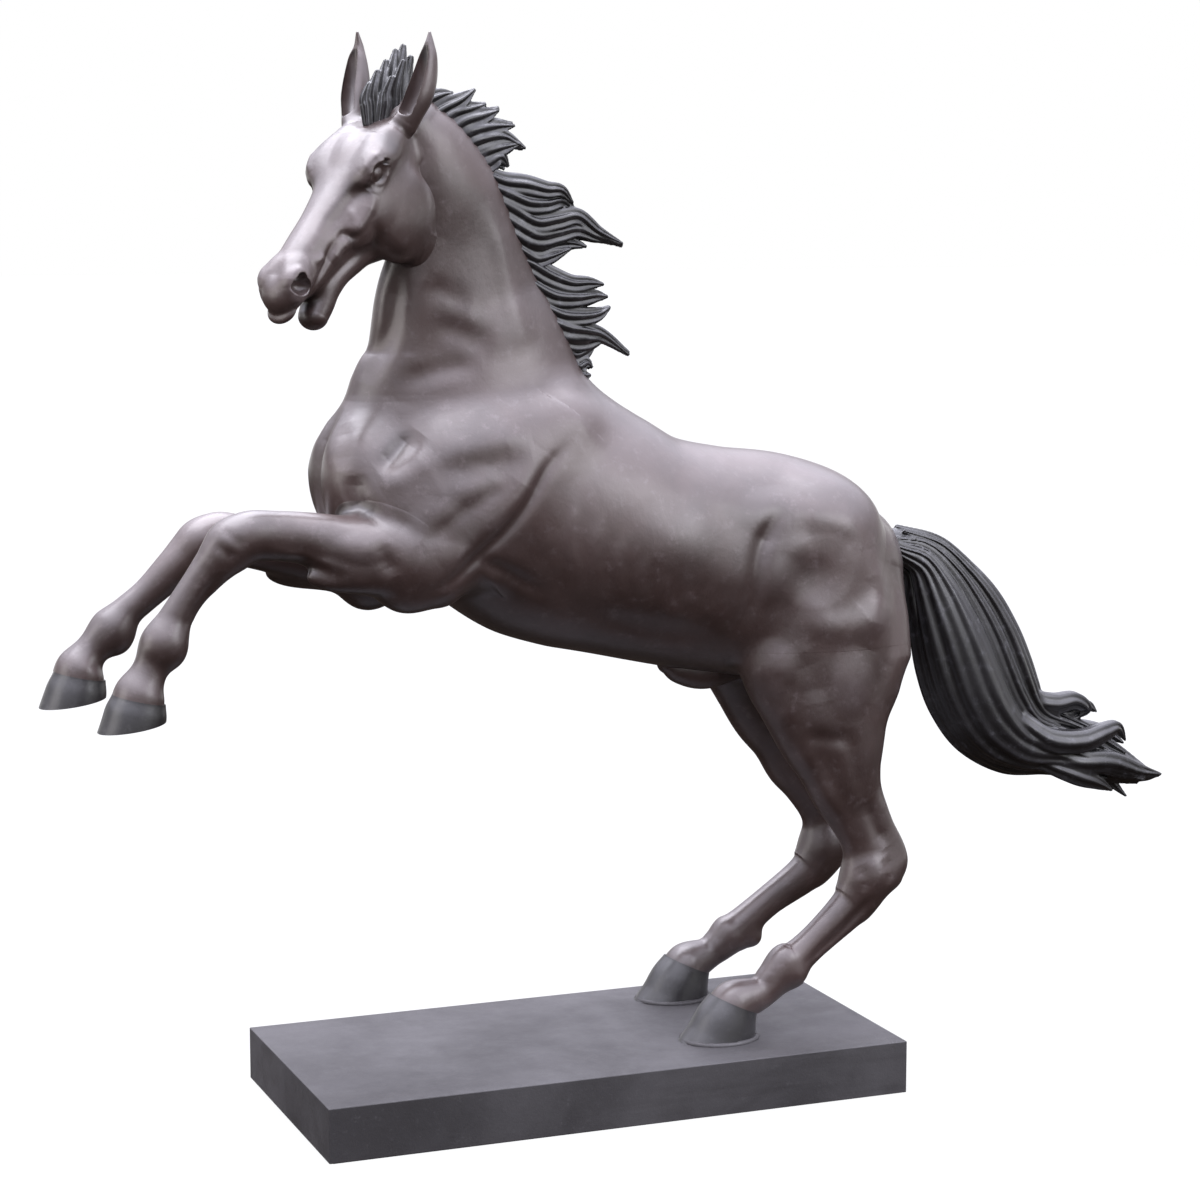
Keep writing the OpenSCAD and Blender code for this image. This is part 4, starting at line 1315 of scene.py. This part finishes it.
# The studio's brightness by the direction looked in, from straight down (-1) to straight up (1)
WORLD_TONES = [
    (-1.0, (0.035, 0.026, 0.022)), (-0.1, (0.06, 0.046, 0.042)), (-0.03, (1, 1, 1)), (0.075, (1, 1, 1)),
    (0.1, (0.2, 0.18, 0.19)), (0.22, (0.5, 0.49, 0.53)), (0.45, (1.7, 1.7, 1.95)), (1.0, (3.8, 3.8, 4.4))]
FLOOR_HALF = 60
FLOOR_GLOW = 0.86
LENS, SENSOR = 86.3, 36.0
CAMERA_PLACE = (-1.815, -4.734, 1.587)
CAMERA_DOWN, CAMERA_TURN = 7.815, 21.479  # in degrees


def world_light():
    """Studio light from all round: bright above, a white band at the horizon and dark below."""
    world = bpy.data.worlds.new("studio")
    bpy.context.scene.world = world
    world.use_nodes = True
    tree = world.node_tree
    split = tree.nodes.new("ShaderNodeSeparateXYZ")
    tree.links.new(tree.nodes.new("ShaderNodeTexCoord").outputs["Generated"], split.inputs[0])
    ramp = tree.nodes.new("ShaderNodeValToRGB")
    spread = tree.nodes.new("ShaderNodeMapRange")
    spread.inputs["From Min"].default_value = -1
    tree.links.new(split.outputs["Z"], spread.inputs["Value"])
    tree.links.new(spread.outputs["Result"], ramp.inputs["Fac"])
    while len(ramp.color_ramp.elements) < len(WORLD_TONES):
        ramp.color_ramp.elements.new(0.5)
    for element, (place, colour) in zip(ramp.color_ramp.elements, WORLD_TONES):
        element.position = (place + 1) / 2
        element.color = rgb(*colour)
    tree.links.new(ramp.outputs["Color"], tree.nodes["Background"].inputs["Color"])


def area_light(name, place, aim, size, power, colour):
    light = bpy.data.lights.new(name, "AREA")
    light.shape = "RECTANGLE"
    light.size, light.size_y = size
    light.energy = power
    light.color = colour
    ob = bpy.data.objects.new(name, light)
    ob.location = place
    ob.rotation_euler = (Vector(aim) - Vector(place)).to_track_quat("-Z", "Y").to_euler()
    bpy.context.scene.collection.objects.link(ob)


def floor():
    """A plain floor, pale by its own glow, that gives the object no light and no reflections."""
    mesh = bpy.data.meshes.new("floor")
    r = FLOOR_HALF
    mesh.from_pydata([(-r, -r, 0), (r, -r, 0), (r, r, 0), (-r, r, 0)], [], [(0, 1, 2, 3)])
    ob = bpy.data.objects.new("floor", mesh)
    bpy.context.scene.collection.objects.link(ob)
    material = bpy.data.materials.new("pale_floor")
    material.use_nodes = True
    shader = material.node_tree.nodes["Principled BSDF"]
    shader.inputs["Base Color"].default_value = rgb(0.08, 0.08, 0.08)
    shader.inputs["Roughness"].default_value = 0.9
    shader.inputs["Specular IOR Level"].default_value = 0.0
    shader.inputs["Emission Color"].default_value = rgb(1, 1, 1)
    shader.inputs["Emission Strength"].default_value = FLOOR_GLOW
    mesh.materials.append(material)
    ob.visible_glossy = False
    ob.visible_diffuse = False


def camera():
    data = bpy.data.cameras.new("camera")
    data.lens = LENS
    data.sensor_width = SENSOR
    ob = bpy.data.objects.new("camera", data)
    ob.location = CAMERA_PLACE
    ob.rotation_euler = (math.radians(90 - CAMERA_DOWN), 0, math.radians(-CAMERA_TURN))
    bpy.context.scene.collection.objects.link(ob)
    bpy.context.scene.camera = ob


def build_stage():
    world_light()
    area_light("overhead", (-0.4, 0.6, 4.2), (0, 0, 0.9), (4.0, 3.4), 180, (0.92, 0.93, 1.0))
    area_light("ahead", (-4.6, -0.4, 1.9), (-0.2, 0, 1.0), (2.6, 2.6), 36, (1.0, 0.97, 0.95))
    area_light("side", (2.7, -3.3, 2.7), (0.2, 0, 0.95), (2.6, 2.2), 52, (0.95, 0.96, 1.0))
    floor()
    camera()
    bpy.context.scene.view_settings.view_transform = "Standard"


# ---- All together

def castings(body, hair, hoof):
    """Every casting of the horse, as fields with the pieces to cut from them."""
    legs = all_legs()
    trunk = trunk_form(legs)
    head = head_form()
    whole = Form(trunk.steps + head.steps)
    out = [Casting(trunk, 4.0, "body_bronze", body)
           .piece("neck", NECK_SEAM)
           .piece("forequarters", back(NECK_SEAM), back(FRONT_BARREL_SEAM))
           .piece("barrel", FRONT_BARREL_SEAM, back(REAR_BARREL_SEAM), back(NECK_SEAM))
           .piece("hindquarters", REAR_BARREL_SEAM)]
    out.append(Casting(Grown(whole, head, HEAD_BLEND), 2.0, "body_bronze", body).piece("head"))
    for name, side in (("left_ear", 1), ("right_ear", -1)):
        out.append(Casting(ear_form(head, side), 1.8, "body_bronze", body).piece(name))
    out += leg_castings(legs, body, hoof)
    out.append(Casting(sheath_form(), 2.5, "body_bronze", body).piece("sheath"))
    out += hair_castings(hair)
    return out


def leg_castings(legs, body, hoof):
    plans = [
        ("left", "fore", "forearm", None, ELBOW_SEAM, LEFT_KNEE_SEAM, LEFT_FORE_FOOT),
        ("right", "fore", "forearm", None, ELBOW_SEAM, RIGHT_KNEE_SEAM, RIGHT_FORE_FOOT),
        ("left", "hind", "thigh", "gaskin", THIGH_SEAM, LEFT_HOCK_SEAM, LEFT_HIND_FOOT),
        ("right", "hind", "thigh", "gaskin", THIGH_SEAM, RIGHT_HOCK_SEAM, RIGHT_HIND_FOOT)]
    out = []
    for leg, (side, end, upper, middle, first, joint, foot) in zip(legs, plans):
        casting = Casting(leg_form(legs, leg), 2.6, "body_bronze", body)
        if middle:
            casting.piece(f"{side}_{upper}", first, back(STIFLE_SEAM))
            casting.piece(f"{side}_{middle}", STIFLE_SEAM, back(joint))
        else:
            casting.piece(f"{side}_{upper}", first, back(joint))
        casting.piece(f"{side}_{end}_cannon", joint, back(coronet(foot)))
        out.append(casting)
        ground = GROUND if end == "hind" else sole(foot)
        out.append(Casting(hoof_form(foot), 1.8, "hoof_bronze", hoof)
                   .piece(f"{side}_{end}_hoof", coronet(foot), ground))
    return out


def hair_castings(hair):
    forms = [
        ("mane_upper", hair_form(mane_locks(MANE_UPPER, (-18, 0, 17)))),
        ("mane_middle", hair_form(mane_locks(MANE_MIDDLE, (-17, 0, 16)))),
        ("mane_lower", hair_form(mane_locks(MANE_LOWER, (-18, 0, 17)))),
        ("forelock", hair_form(forelock_locks(), 5))]
    out = [Casting(form, 1.8, "hair_bronze", hair).piece(node) for node, form in forms]
    out.append(Casting(tail_form(), 2.4, "hair_bronze", hair)
               .piece("tail_upper", back(TAIL_SEAM)).piece("tail_lower", TAIL_SEAM))
    return out


def dress_cad_nodes(nodes, material):
    """Shows CAD nodes as they are, in a scene material."""
    for node in nodes:
        ob = bpy.data.objects[node]
        ob.data.materials.clear()
        ob.data.materials.append(material)


def build():
    body = patinated_bronze("body_bronze", rgb(0.036, 0.019, 0.016), rgb(0.064, 0.038, 0.034),
                            rgb(0.135, 0.105, 0.105), 0.44, 0.15, 0.9)
    hair = patinated_bronze("hair_bronze", rgb(0.007, 0.0065, 0.007), rgb(0.021, 0.02, 0.022),
                            rgb(0.15, 0.15, 0.17), 0.38, 0.3, 0.6, 0.5)
    hoof = patinated_bronze("hoof_bronze", rgb(0.011, 0.01, 0.0105), rgb(0.024, 0.0225, 0.024),
                            rgb(0.07, 0.067, 0.07), 0.38, 0.3, 0.5, 0.6)
    base = base_bronze()
    all_castings = castings(body, hair, hoof)
    all_castings += [
        Casting(weld_bead(foot), 1.6, "base_bronze", base).piece(name, GROUND)
        for name, foot in (("weld_left", LEFT_HIND_FOOT), ("weld_right", RIGHT_HIND_FOOT))]
    with ThreadPoolExecutor(THREADS) as pool:
        list(pool.map(Casting.mesh, all_castings))
        for casting in all_castings:
            casting.cut()
        list(pool.map(Casting.work_out_shading, all_castings))
    for casting in all_castings:
        casting.finish()
    for node in BASE_NODES:
        base_plate(node, base)
    dress_cad_nodes(["base_cross_ribs", "anchor_lugs"], base)
    dress_cad_nodes(STEEL_NODES, plain_steel())
    build_stage()


build()
